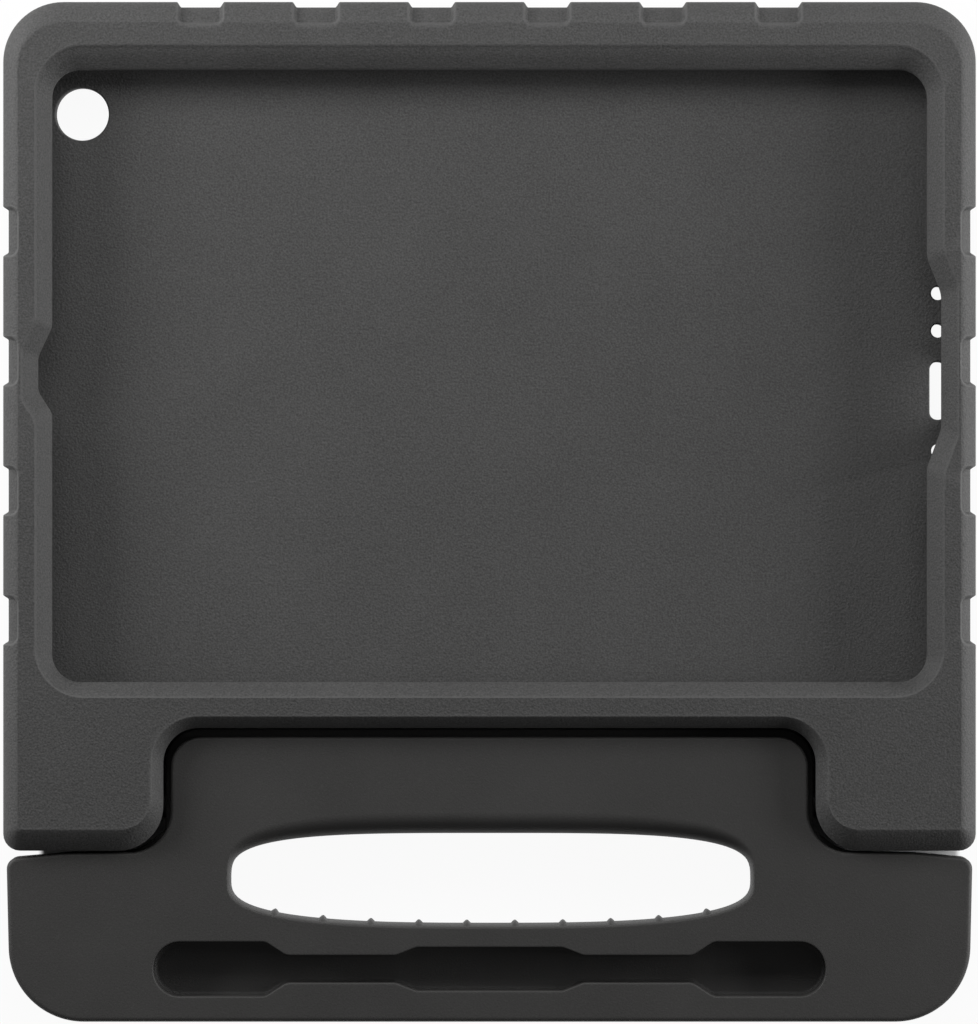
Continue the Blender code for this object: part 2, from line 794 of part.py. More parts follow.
def well_cutter():
    loops = [
        at_height(well_outline(-0.0004), HANDLE_FRONT - WELL_DEPTH),
        at_height(well_outline(0.0), HANDLE_FRONT - WELL_DEPTH + 0.0005),
        at_height(well_outline(0.0), HANDLE_FRONT - WELL_ROUND),
        at_height(well_outline(WELL_ROUND), HANDLE_FRONT),
        at_height(well_outline(WELL_ROUND), HANDLE_FRONT + OVERCUT),
    ]
    return loft("well_cut", loops)


def rod_bore_cutter():
    """The bore for the rod, wider at both ends where the bushes' flanges turn."""
    mouth = DEEP_HALF_W + OVERCUT
    shoulder = NOTCH_HALF_W - GAP - FLANGE_T - GAP
    bore_r = ROD_D / 2 + GAP
    flange_r = FLANGE_D / 2 + FLANGE_PLAY
    loops = []
    for x, r in (
        (-mouth, flange_r),
        (-shoulder, flange_r),
        (-shoulder, bore_r),
        (shoulder, bore_r),
        (shoulder, flange_r),
        (mouth, flange_r),
    ):
        loops.append(ring((AXIS_Y, AXIS_Z), r, 24, lambda u, v, x=x: (x, u, v)))
    return loft("rod_bore_cut", loops)


def build_handle(material):
    handle = handle_block(material)
    cut(handle, grip_cutter(), well_cutter(), rod_bore_cutter())
    smooth(handle)
    return handle


# Hinge parts


def build_rod(material):
    loops = []
    for x, r in (
        (-ROD_HALF_L, ROD_D / 2 - ROD_CHAMFER),
        (-ROD_HALF_L + ROD_CHAMFER, ROD_D / 2),
        (ROD_HALF_L - ROD_CHAMFER, ROD_D / 2),
        (ROD_HALF_L, ROD_D / 2 - ROD_CHAMFER),
    ):
        loops.append(ring((AXIS_Y, AXIS_Z), r, 20, lambda u, v, x=x: (x, u, v)))
    rod = loft("hinge_rod", loops, material)
    smooth(rod)
    return rod


def build_bush(name, sign, material):
    """A sleeve in the leg with a flange that keeps the handle off the leg."""
    seat = NOTCH_HALF_W - GAP
    face = seat - FLANGE_T
    back = NOTCH_HALF_W + BUSH_L
    rod_r = ROD_D / 2 + RUN_CLEARANCE
    section = [
        (face, rod_r),
        (face, FLANGE_D / 2),
        (seat, FLANGE_D / 2),
        (seat, BUSH_D / 2),
        (back, BUSH_D / 2),
        (back, rod_r),
    ]
    bm = bmesh.new()
    rings = []
    for x, r in section:
        points = ring((AXIS_Y, AXIS_Z), r, 24, lambda u, v, x=x: (sign * x, u, v))
        rings.append([bm.verts.new(p) for p in points])
    for here, after in zip(rings, rings[1:] + rings[:1]):
        for i in range(len(here)):
            j = (i + 1) % len(here)
            bm.faces.new((here[i], here[j], after[j], after[i]))
    bmesh.ops.recalc_face_normals(bm, faces=bm.faces)
    mesh = bpy.data.meshes.new(name)
    bm.to_mesh(mesh)
    bm.free()
    bush = mesh_object(name, mesh, material)
    smooth(bush)
    return bush


def hang_on_axis(objects):
    """The pieces that fold are parented to an empty on the hinge axis."""
    pivot = bpy.data.objects.new("handle_axis", None)
    pivot.location = (0.0, AXIS_Y, AXIS_Z)
    bpy.context.scene.collection.objects.link(pivot)
    bpy.context.view_layer.update()
    for obj in objects:
        obj.parent = pivot
        obj.matrix_parent_inverse = pivot.matrix_world.inverted()


def main():
    clear_scene()
    foam = principled("case_foam", (0.058, 0.056, 0.056), 0.78)
    handle_foam = principled("handle_foam", (0.036, 0.036, 0.034), 0.72)
    steel = principled("rod_steel", (0.55, 0.55, 0.56), 0.35, 1.0)
    nylon = principled("bush_nylon", (0.015, 0.015, 0.016), 0.45)
    build_case(foam)
    handle = build_handle(handle_foam)
    rod = build_rod(steel)
    build_bush("leg_bush_left", -1, nylon)
    build_bush("leg_bush_right", 1, nylon)
    hang_on_axis([handle, rod])


main()
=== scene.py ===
import math

import bmesh
import bpy
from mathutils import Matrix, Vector
from mathutils.geometry import delaunay_2d_cdt


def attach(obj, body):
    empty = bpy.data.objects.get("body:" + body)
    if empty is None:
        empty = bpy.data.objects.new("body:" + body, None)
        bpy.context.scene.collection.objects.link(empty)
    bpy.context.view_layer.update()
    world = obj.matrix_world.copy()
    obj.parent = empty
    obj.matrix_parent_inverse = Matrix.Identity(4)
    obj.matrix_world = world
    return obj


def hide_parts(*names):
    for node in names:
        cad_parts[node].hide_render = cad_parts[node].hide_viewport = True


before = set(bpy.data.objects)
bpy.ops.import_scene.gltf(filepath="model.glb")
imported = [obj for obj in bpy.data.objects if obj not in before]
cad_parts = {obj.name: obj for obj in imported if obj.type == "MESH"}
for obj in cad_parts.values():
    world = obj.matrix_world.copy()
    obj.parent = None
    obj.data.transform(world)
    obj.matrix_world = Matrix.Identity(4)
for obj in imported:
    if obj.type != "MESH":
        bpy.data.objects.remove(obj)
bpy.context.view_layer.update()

# The shockproof case as it looks: foam body, folding foam handle, hinge rod and bushes.
# Lengths are in metres. The case lies on its back, its front towards +Z, its top edge towards +Y.

FAR = 1.0  # run, along an edge, of the points that aren't on it
INSIDE_WITH_HOLES = 2  # how the triangulation treats an outline's inner loops
MERGE = 1e-8  # distance below which the triangulation joins points
LEVEL = 0.99999  # upward share of a normal from which a face counts as level
WIDE = 0.012  # perimeter from which a level face counts as open ground
SHARP_ANGLE = 38  # degrees from which an edge stays sharp

# Photograph: its size, metres to the pixel on the case's front, its middle, and the camera
PICTURE_W, PICTURE_H = 978, 1024
METRES_PER_PIXEL = 0.0002656
MIDDLE_PIXEL_X = 489.5
SENSOR = 0.036
CAMERA_ABOVE = 3.0
FOCUS_Z = 0.020

# Case body: its levels, from the back up
POCKET_FLOOR = 0.0098
POCKET_TOP = 0.0178
LIP_TOP = 0.0195
CASE_T = 0.024

# Case body: its outline from the front
CASE_HALF_W = 0.1292
CASE_TOP = 0.1355
NOTCH_HALF_W = 0.0867
NOTCH_TOP = -0.0574
CASE_CORNER_R = 0.016
LEG_OUTER_R = 0.0045
LEG_INNER_R = 0.012
LEG_FRONT_R = 0.0075
LEG_LEAST_R = 0.0011
LEG_HEEL_R = 0.0010
NOTCH_R = 0.0093
FRONT_FILLET_H = 0.0050
FILLET_SIDE = 0.0041
FILLET_TOP = 0.0056
FILLET_LEG = 0.0058
FILLET_NOTCH = 0.0032
BACK_FILLET = 0.0025
EDGE_POWER, LEG_EDGE_POWER = 1.5, 1.18
FILLET_STEEPNESS = 1.1

# Rings of the case's skin: mm in from the back's round, heights up the wall, and (side, elsewhere)
# mm in from the front's round
BACK_RINGS = (3.9, 3.5, 3.2, 2.9, 2.6, 2.3, 1.8, 1.1, 0.4)
WALL_RINGS = (0.0034, 0.0046, 0.0060, 0.0080, 0.0105, 0.0130, 0.0155, 0.0175, 0.0184)
FRONT_RINGS = ((0.06, 0.3), (0.12, 0.7), (0.20, 1.2), (0.30, 1.8))

# Points of each ring near a grip channel's side, in mm past it
NEAR_SIDE = (-2.8, -2.3, -1.9, -1.5, -1.2, -0.95, -0.75, -0.6, -0.45, -0.3, -0.15, 0.0)
NEAR_SIDE += (0.15, 0.3, 0.45, 0.6, 0.75, 0.95, 1.3)

# Window, its bevel, and its two scoops as (y, how far out) corners
WINDOW_HALF_W = 0.1162
WINDOW_TOP = 0.1174
WINDOW_BOTTOM = -0.0452
WINDOW_R = 0.0075
BEVEL_SIDE = 0.0044
BEVEL_TOP = 0.0066
BEVEL_BOTTOM = 0.0039
BEVEL_R = 0.013
CAMERA_SCOOP = ((0.0491, 0.0), (0.0412, 0.0037), (0.0319, 0.0037), (0.0263, 0.0))
CAMERA_SCOOP_R = 0.0048
PORT_SCOOP = ((0.0116, 0.0), (0.0220, 0.0038), (0.0580, 0.0038), (0.0676, 0.0))
PORT_SCOOP_R = 0.008
SCOOP_SPREAD = 0.0019

# Pocket, ports and openings through the back
POCKET_LEFT, POCKET_RIGHT = -0.1220, 0.1190
POCKET_LOW, POCKET_HIGH = -0.05025, 0.12025
POCKET_R, POCKET_FOOT_R = 0.010, 0.0004
CHAMBER_RIGHT = 0.1226
CHAMBER_LOW, CHAMBER_HIGH = 0.0145, 0.0645
CHAMBER_R = 0.001
SOUND_X = 0.1195
SOUND_R = 0.0018
SOUND_OFFSETS = (0.016, 0.026)
EDGE_SOUND_OFFSETS, EDGE_SOUND_TOP = (-0.026, -0.016), 0.0108
SLOT_HALF_L, SLOT_HALF_W = 0.0077, 0.0022
PORT_Y = 0.0323
PORT_Z = 0.01355
PORT_HALF_L, PORT_HALF_H, PORT_R = 0.009, 0.003, 0.0025
JACK_Y, JACK_R = -0.040, 0.0035
CAMERA_X, CAMERA_Y = -0.1085, 0.1060
CAMERA_R, CAMERA_MOUTH_R, CAMERA_MOUTH_H = 0.007, 0.010, 0.003
EDGE_BREAK = ((0.0004, 0.0), (0.0001, 0.0003), (0.0, 0.0008))  # (wider by, below the surface)

# Grip channels across the edges
CHANNEL_DEPTH = 0.00145
CHANNEL_SOFT = 0.00065
CHANNEL_END_R = 0.0020
TOP_CHANNELS, TOP_PITCH, TOP_CHANNEL_W = 6, 0.0307, 0.0114
SIDE_CHANNELS, SIDE_PITCH, SIDE_CHANNEL_W = 4, 0.0344, 0.0122
SIDE_MIDDLE = 0.0229
FRONT_END_TOP = 0.00585
FRONT_END_SIDE = 0.00370
BACK_END = 0.0055

# Hinge
AXIS_Y, AXIS_Z = -0.078, 0.006
LEG_REACH = 0.012
ROD_R, BUSH_R, FIT_GAP = 0.0020, 0.0035, 0.0003
BUSH_SEAT_END = 0.1117
FLANGE_BORE_R, FLANGE_BORE_X = 0.0047, 0.0851

# Handle
HANDLE_BACK, HANDLE_FRONT = 0.0006, 0.0184
HANDLE_HALF_W, HANDLE_FOOT_HALF_W = 0.1284, 0.1274
HANDLE_END, HANDLE_END_R = -0.1355, 0.020
TONGUE_HALF_W, TONGUE_TOP, TONGUE_R = 0.0847, -0.0598, 0.008
FLARE_R = 0.011
SHOULDER_IN, SHOULDER_BEND, SHOULDER_OUT = -0.0904, -0.0907, -0.0921
SHOULDER_BEND_X = 0.11205
SHOULDER_BEND_R, SHOULDER_R, SHOULDER_LEAST_R = 0.030, 0.003, 0.0008
HANDLE_FRONT_ROUND, HANDLE_BACK_ROUND = 0.0012, 0.0030

# Behind the groove round the tongue the handle is wider. (corner y, reach, radius) of its flares
DEEP_HALF_W, DEEP_TOP, DEEP_R = 0.0863, -0.0578, 0.0089
DEEP_FRONT, LEDGE_BACK = 0.0110, 0.0087
DEEP_CORNER_R = 0.0015
BACK_FLARE = (-0.0873, 0.0029, 0.0035)
LEDGE_FLARE = (-0.0845, 0.0072, 0.014)
GROOVE_FOOT_R = 0.0006

# Grip opening in the handle, with its finger ribs
GRIP_X, GRIP_Y = 0.00035, -0.0983
GRIP_HALF_L, GRIP_UP, GRIP_DOWN = 0.0693, 0.0128, 0.0114
GRIP_UP_POWER, GRIP_DOWN_POWER = 3.6, 2.9
GRIP_BROW, GRIP_SIDE_ROUND, GRIP_SILL_ROUND = 0.0055, 0.0009, 0.0010
GRIP_ROUND_H = 0.0065
GRIP_BACK_ROUND = 0.0020
RIBS, RIB_PITCH, RIB_H, RIB_HALF_W = 10, 0.0128, 0.0009, 0.0013
RIB_LOW, RIB_HIGH = HANDLE_BACK + 0.0012, HANDLE_FRONT - 0.0010
RIB_LOW_FADE, RIB_HIGH_FADE = 0.0016, 0.0045
RIB_ROOT, RIB_SKIRT, RIB_SUNK = 0.0007, 0.0004, 0.0001

# Stylus well in the handle
WELL_Y = -0.1215
WELL_END_X, WELL_END_H = 0.0894, 0.0073
WELL_RAMP_X = 0.0595
WELL_NECK_FAR_X, WELL_NECK_NEAR_X, WELL_NECK_H = 0.0540, 0.0250, 0.0037
WELL_MIDDLE_X, WELL_MIDDLE_H = 0.0195, 0.00585
WELL_DEPTH, WELL_ROUND, WELL_FLOOR_ROUND = 0.0090, 0.0003, 0.0012
WELL_BEND_R = 0.0035

# Foam skins: grey level and warmth, pebbles' size and height, grain, edge wear with a painted edge
# highlight, roughness
CASE_SKIN = (0.055, 0.01, 0.00052, 0.00017, 2.0, 1.2, 0.66)
HANDLE_SKIN = (0.039, 0.03, 0.00045, 0.00005, 0.6, 0.15, 0.60)
FOAM_DARK, FOAM_PALE = 0.62, 1.38  # times the grey level
FLOW_SCALE, FLOW_MARKS, FLOW_SHEEN = 38.0, 0.35, 0.10
SPECKS, SPECK_START, SPECK_FULL = 0.12, 0.60, 0.74
SKIN_SHEEN, WORN_SHEEN = 0.18, 0.06
PEBBLE_HILLS, PEBBLE_CREASES = 0.7, 0.5
FOAM_GLOSS = 0.30

# Drawn steel and turned nylon
STEEL_DARK, STEEL_PALE = (0.42, 0.41, 0.40, 1.0), (0.62, 0.62, 0.63, 1.0)
STEEL_LINES, STEEL_LINE_DEPTH = (60.0, 9000.0, 9000.0), 0.00003
STEEL_ROUGH, LINES_ROUGH, TARNISH_ROUGH, TARNISH_SCALE = 0.20, 0.20, 0.12, 220.0
NYLON_DARK, NYLON_PALE = 0.011, 0.022
NYLON_RINGS, NYLON_RING_DEPTH = 900.0, 0.00004
NYLON_ROUGH, RINGS_ROUGH, DUST_ROUGH, DUST_SCALE = 0.34, 0.08, 0.16, 700.0

# Light: name, place, width, height and power of each soft box, and the room's own light
SOFT_BOXES = (
    ("top_soft_box", (0.0, 0.33, 0.32), 0.7, 0.22, 1.3),
    ("left_soft_box", (-0.58, 0.26, 0.24), 0.4, 0.2, 3.8),
    ("right_soft_box", (0.75, 0.08, 0.20), 0.5, 0.25, 5.9),
)
LIGHT_TARGET = (0.0, 0.02, 0.0)
ROOM_LIGHT = 0.14

# Floor, and the strip of it below the hinge that isn't white, without the grip opening's part
FLOOR_HALF_W, FLOOR_TONE, FLOOR_WHITE = 6, 0.80, 0.94
STRIP_X, STRIP_HALF_L = 0.0026, 0.1215
STRIP_LOW, STRIP_HIGH, STRIP_SOFT = -0.0965, -0.0550, 0.0010
GRIP_CLEAR_HALF_L, GRIP_CLEAR_TOP = 0.0770, -0.0810


# Node trees


class Socket:
    """A node's output. Arithmetic on it adds Math nodes to its tree."""

    def __init__(self, tree, socket):
        self.tree = tree
        self.socket = socket

    def math(self, operation, *terms):
        return self.tree.add("ShaderNodeMath", {"operation": operation}, dict(enumerate(terms)))

    def __add__(self, other):
        return self.math("ADD", self, other)

    def __radd__(self, other):
        return self.math("ADD", other, self)

    def __sub__(self, other):
        return self.math("SUBTRACT", self, other)

    def __rsub__(self, other):
        return self.math("SUBTRACT", other, self)

    def __mul__(self, other):
        return self.math("MULTIPLY", self, other)

    def __rmul__(self, other):
        return self.math("MULTIPLY", other, self)

    def __truediv__(self, other):
        return self.math("DIVIDE", self, other)

    def __rtruediv__(self, other):
        return self.math("DIVIDE", other, self)

    def __pow__(self, other):
        return self.math("POWER", self, other)

    def __abs__(self):
        return self.math("ABSOLUTE", self)

    def at_least(self, other):
        return self.math("MAXIMUM", self, other)

    def at_most(self, other):
        return self.math("MINIMUM", self, other)

    def below(self, limit):
        return self.math("LESS_THAN", self, limit)

    def rise(self, low, high):
        """0 below low, 1 above high, with a soft S between them."""
        return self.tree.add(
            "ShaderNodeMapRange",
            {"interpolation_type": "SMOOTHSTEP"},
            {0: self, 1: low, 2: high, 3: 0.0, 4: 1.0},
        )


class Tree:
    """A node tree, where every node comes from add: its type, its settings, then its sockets."""

    def __init__(self, owner):
        self.owner = owner

    def add(self, kind, settings=None, sockets=None, output=0):
        """Gives one output, or a list of them where output is a tuple of names."""
        node = self.owner.nodes.new(kind)
        for name, value in (settings or {}).items():
            setattr(node, name, value)
        for key, given in (sockets or {}).items():
            for value in given if isinstance(given, list) else [given]:
                if isinstance(value, Socket):
                    self.owner.links.new(value.socket, node.inputs[key])
                else:
                    node.inputs[key].default_value = value
        if isinstance(output, tuple):
            return [Socket(self, node.outputs[name]) for name in output]
        return Socket(self, node.outputs[output]) if len(node.outputs) else None

    def blend(self, share, first, second):
        """A colour between two colours."""
        return self.add(
            "ShaderNodeMix", {"data_type": "RGBA"}, {0: share, 6: first, 7: second}, output=2
        )

    def noise(self, place, scale, detail, rough=0.5):
        sockets = {"Vector": place, "Scale": scale, "Detail": detail, "Roughness": rough}
        return self.add("ShaderNodeTexNoise", {}, sockets)

    def bump(self, height, strength, depth):
        sockets = {"Strength": strength, "Distance": depth, "Height": height}
        return self.add("ShaderNodeBump", {}, sockets)


def grey(value, warm=0.0):
    """A near-neutral colour; warm tips it from blue-grey to olive-grey."""
    return (value * (1 + warm), value, value * (1 - warm), 1.0)


# Outlines


def resample(points, count):
    """A closed outline as so many points, evenly spaced along it."""
    lengths = [0.0]
    for a, b in zip(points, points[1:] + points[:1]):
        lengths.append(lengths[-1] + math.dist(a, b))
    out, at = [], 0
    for k in range(count):
        wanted = lengths[-1] * k / count
        while lengths[at + 1] < wanted:
            at += 1
        share = (wanted - lengths[at]) / (lengths[at + 1] - lengths[at])
        a, b = points[at], points[(at + 1) % len(points)]
        out.append((a[0] + (b[0] - a[0]) * share, a[1] + (b[1] - a[1]) * share))
    return out


def rounded(corners, steps):
    """Closed outline through (x, y, radius) corners, each rounded by an arc of so many steps."""
    points = []
    count = len(corners)
    for i, (x, y, radius) in enumerate(corners):
        here = Vector((x, y))
        back = (Vector(corners[i - 1][:2]) - here).normalized()
        ahead = (Vector(corners[(i + 1) % count][:2]) - here).normalized()
        half = back.angle(ahead) / 2
        centre = here + (back + ahead).normalized() * radius / math.sin(half)
        start = here + back * radius / math.tan(half) - centre
        end = here + ahead * radius / math.tan(half) - centre
        turn = start.angle_signed(end)
        for k in range(steps[i] + 1):
            angle = -turn * k / steps[i]
            c, s = math.cos(angle), math.sin(angle)
            points.append(
                (centre.x + start.x * c - start.y * s, centre.y + start.x * s + start.y * c)
            )
    return points


def rounded_both(right, steps):
    """Outline of a shape with two alike sides, through the right one's corners, bottom to top."""
    left = [(-x, y, radius) for x, y, radius in right]
    corners = [left[0], *right, *reversed(left[1:])]
    return rounded(corners, [steps[0], *steps, *reversed(steps[1:])])


def circle(x, y, radius, count):
    turns = [2 * math.pi * k / count for k in range(count)]
    return [(x + radius * math.cos(a), y + radius * math.sin(a)) for a in turns]


def arc(x, y, radius, start, end, steps):
    turns = [math.radians(start + (end - start) * k / steps) for k in range(steps + 1)]
    return [(x + radius * math.cos(a), y + radius * math.sin(a)) for a in turns]


def between(a, b, count):
    """So many points that divide the way from a to b evenly."""
    shares = [(k + 1) / (count + 1) for k in range(count)]
    return [(a[0] + (b[0] - a[0]) * s, a[1] + (b[1] - a[1]) * s) for s in shares]


def rounded_box(x, y, half_w, half_h, radius, steps):
    sides = ((-1, -1), (1, -1), (1, 1), (-1, 1))
    corners = [(x + sx * half_w, y + sy * half_h, radius) for sx, sy in sides]
    return rounded(corners, (steps,) * 4)


def at_height(points, z):
    return [(x, y, z) for x, y in points]


def quarter_round(steps):
    """(across, up) shares of a quarter circle, from the wall to the flat."""
    turns = [math.pi / 2 * k / steps for k in range(steps + 1)]
    return [(1 - math.cos(a), math.sin(a)) for a in turns]


# Meshes


class Shell:
    """A closed skin made of rings: walls between rings of equal count, flats between any rings."""

    def __init__(self):
        self.bm = bmesh.new()

    def ring(self, points):
        return [self.bm.verts.new(p) for p in points]

    def wall(self, first, second):
        for i in range(len(first)):
            self.bm.faces.new((first[i - 1], first[i], second[i], second[i - 1]))

    def stack(self, levels):
        """Rings through the levels, with walls between them; gives the first and last ring."""
        rings = [self.ring(points) for points in levels]
        for first, second in zip(rings, rings[1:]):
            self.wall(first, second)
        return rings[0], rings[-1]

    def flat(self, *rings):
        """Fills the level ground between an outer ring and the rings inside it."""
        verts, loops = [], []
        for ring in rings:
            loops.append(list(range(len(verts), len(verts) + len(ring))))
            verts += ring
        points = [vert.co.xy for vert in verts]
        _, _, faces, origin, *_ = delaunay_2d_cdt(points, [], loops, INSIDE_WITH_HOLES, MERGE)
        for face in faces:
            self.bm.faces.new([verts[origin[i][0]] for i in face])

    def finish(self, name, material=None):
        bmesh.ops.recalc_face_normals(self.bm, faces=self.bm.faces)
        mesh = bpy.data.meshes.new(name)
        self.bm.to_mesh(mesh)
        self.bm.free()
        return mesh_object(name, mesh, material)


def mesh_object(name, mesh, material=None):
    obj = bpy.data.objects.new(name, mesh)
    bpy.context.scene.collection.objects.link(obj)
    if material:
        mesh.materials.clear()
        mesh.materials.append(material)
    return obj


def make_plain(obj):
    """Works the object's modifiers into its mesh."""
    evaluated = obj.evaluated_get(bpy.context.evaluated_depsgraph_get())
    mesh = bpy.data.meshes.new_from_object(evaluated)
    old = obj.data
    obj.modifiers.clear()
    obj.data = mesh
    mesh.name = obj.name
    bpy.data.meshes.remove(old)


def open_group(name, sizes):
    """A node group for a mesh and named sizes: its tree, mesh, sizes, and values by identifier."""
    group = bpy.data.node_groups.new(name, "GeometryNodeTree")
    group.interface.new_socket("Mesh", in_out="INPUT", socket_type="NodeSocketGeometry")
    values = {}
    for label, value in sizes.items():
        kind = "NodeSocketInt" if isinstance(value, int) else "NodeSocketFloat"
        socket = group.interface.new_socket(label, in_out="INPUT", socket_type=kind)
        values[socket.identifier] = value
    group.interface.new_socket("Mesh", in_out="OUTPUT", socket_type="NodeSocketGeometry")
    tree = Tree(group)
    mesh, *given = tree.add("NodeGroupInput", output=("Mesh", *sizes))
    return tree, mesh, dict(zip(sizes, given)), values


def close_group(tree, shape, material):
    real = tree.add("GeometryNodeRealizeInstances", {}, {0: shape})
    painted = tree.add("GeometryNodeSetMaterial", {}, {"Geometry": real, "Material": material})
    tree.add("NodeGroupOutput", {}, {0: painted})


def work_in(obj, tree, values):
    """Runs a node group on the object, whose mesh becomes the result."""
    modifier = obj.modifiers.new(tree.owner.name, "NODES")
    modifier.node_group = tree.owner
    for identifier, value in values.items():
        modifier[identifier] = value
    make_plain(obj)


def cut_out(obj, cutters):
    for cutter in cutters:
        modifier = obj.modifiers.new(cutter.name, "BOOLEAN")
        modifier.operation = "DIFFERENCE"
        modifier.solver = "EXACT"
        modifier.object = cutter
    make_plain(obj)
    for cutter in cutters:
        bpy.data.objects.remove(cutter, do_unlink=True)


def closed_bar(name, levels):
    """A bar through the levels, closed at both ends."""
    shell = Shell()
    first, last = shell.stack(levels)
    shell.bm.faces.new(first)
    shell.bm.faces.new(list(reversed(last)))
    return shell.finish(name)


def cutter_along_x(name, sections):
    """A cutter through (x, outline in y and z) sections."""
    return closed_bar(name, [[(x, y, z) for y, z in points] for x, points in sections])


def mark_worn_and_lit_edges(obj, reach=0.000825, passes=2):
    """Stores how strongly each point stands out, for the edges' rubbed wear and their painted
    highlight.
    """
    bm = bmesh.new()
    bm.from_mesh(obj.data)
    bend = []
    for vert in bm.verts:
        turn = sum(e.calc_face_angle_signed(0.0) * e.calc_length() for e in vert.link_edges)
        area = sum(f.calc_area() for f in vert.link_faces) or 1.0
        bend.append(max(0.0, min(1.0, turn / area * reach)))
    for _ in range(passes):
        bend = [
            0.5 * bend[v.index]
            + 0.5 * sum(bend[e.other_vert(v).index] for e in v.link_edges) / len(v.link_edges)
            for v in bm.verts
        ]
    for vert in bm.verts:
        if any(abs(f.normal.z) >= LEVEL and f.calc_perimeter() > WIDE for f in vert.link_faces):
            bend[vert.index] = 0.0  # or the wear and painted highlight would streak over the wide level face
    bm.free()
    worn = obj.data.attributes.new("worn", "FLOAT", "POINT")
    worn.data.foreach_set("value", bend)


def smooth(obj):
    """Smooth shading, with the level ground left flat so that no edge shades across it."""
    obj.data.shade_smooth()
    for face in obj.data.polygons:
        face.use_smooth = abs(face.normal.z) < LEVEL
    obj.data.set_sharp_from_angle(angle=math.radians(SHARP_ANGLE))


# Case body


def edge_spots(channels, pitch, width, middle):
    """Where the rim has its points along a straight edge: close together at the channels' sides."""
    spots = set()
    for i in range(channels):
        centre = middle + (i - (channels - 1) / 2) * pitch
        for side in (-1, 1):
            spots.update(centre + side * (width / 2 + k / 1000) for k in NEAR_SIDE)
        spots.update(centre + k * width / 6 for k in (-1, 0, 1))
        spots.update(centre + pitch / 2 + k * pitch / 6 for k in (-1, 0, 1))
    return sorted(spots)


TOP_SPOTS = [-0.105, *edge_spots(TOP_CHANNELS, TOP_PITCH, TOP_CHANNEL_W, 0.0), 0.105]
SIDE_SPOTS = edge_spots(SIDE_CHANNELS, SIDE_PITCH, SIDE_CHANNEL_W, SIDE_MIDDLE)
SIDE_SPOTS = [-0.070, -0.058, *SIDE_SPOTS, 0.100, 0.109]


def rim(side, top, leg, notch_side, notch_top, inset):
    """The case's outline as (x, y, outward x, outward y, edge), anticlockwise from the left leg."""
    r_top = CASE_CORNER_R - inset
    r_leg = max(LEG_OUTER_R - inset, LEG_LEAST_R)
    r_in = max(LEG_INNER_R - inset, LEG_FRONT_R)
    r_notch = NOTCH_R + notch_side - NOTCH_HALF_W
    left_outer = arc(-side + r_leg, leg + r_leg, r_leg, 180, 270, 6)
    left_inner = arc(-notch_side - r_in, leg + r_in, r_in, 270, 360, 12)
    left_notch = arc(-notch_side + r_notch, notch_top - r_notch, r_notch, 180, 90, 12)
    right_notch = arc(notch_side - r_notch, notch_top - r_notch, r_notch, 90, 0, 12)
    right_inner = arc(notch_side + r_in, leg + r_in, r_in, 180, 270, 12)
    right_outer = arc(side - r_leg, leg + r_leg, r_leg, 270, 360, 6)
    right_top = arc(side - r_top, top - r_top, r_top, 0, 90, 18)
    left_top = arc(-side + r_top, top - r_top, r_top, 90, 180, 18)
    runs = [
        ("corner", left_outer),
        ("leg", between(left_outer[-1], left_inner[0], 8)),
        ("corner", left_inner),
        ("notch", between(left_inner[-1], left_notch[0], 3)),
        ("corner", left_notch),
        ("notch", between(left_notch[-1], right_notch[0], 30)),
        ("corner", right_notch),
        ("notch", between(right_notch[-1], right_inner[0], 3)),
        ("corner", right_inner),
        ("leg", between(right_inner[-1], right_outer[0], 8)),
        ("corner", right_outer),
        ("side", [(side, y) for y in SIDE_SPOTS]),
        ("corner", right_top),
        ("top", [(x, top) for x in reversed(TOP_SPOTS)]),
        ("corner", left_top),
        ("side", [(-side, y) for y in reversed(SIDE_SPOTS)]),
    ]
    points = [(x, y, edge) for edge, run in runs for x, y in run]
    out = []
    for i, (x, y, edge) in enumerate(points):
        before, after = points[i - 1], points[(i + 1) % len(points)]
        run = Vector((after[0] - before[0], after[1] - before[1])).normalized()
        out.append((x, y, run.y, -run.x, edge))
    return out


def leg_end_at(z):
    """The legs end in an arc about the hinge axis on the back half, so the shoulders turn past."""
    heel = max(0.0, 1 - z / LEG_HEEL_R)
    softened = LEG_HEEL_R * (1 - math.sqrt(1 - heel**2))
    below = max(0.0, AXIS_Z - z)
    return AXIS_Y - math.sqrt(LEG_REACH**2 - below**2) + softened


def soft_edge(steps):
    """How far an edge has risen, from the wall inward, at so many steps."""
    return [math.sin(math.pi / 2 * k / steps) ** (2 / EDGE_POWER) for k in range(steps + 1)]


def inset_share(rise, power):
    """How far in the edge is at that rise: power 1 is a chamfer, power 2 a quarter round."""
    return 1 - max(0.0, 1 - rise**power) ** (1 / power)


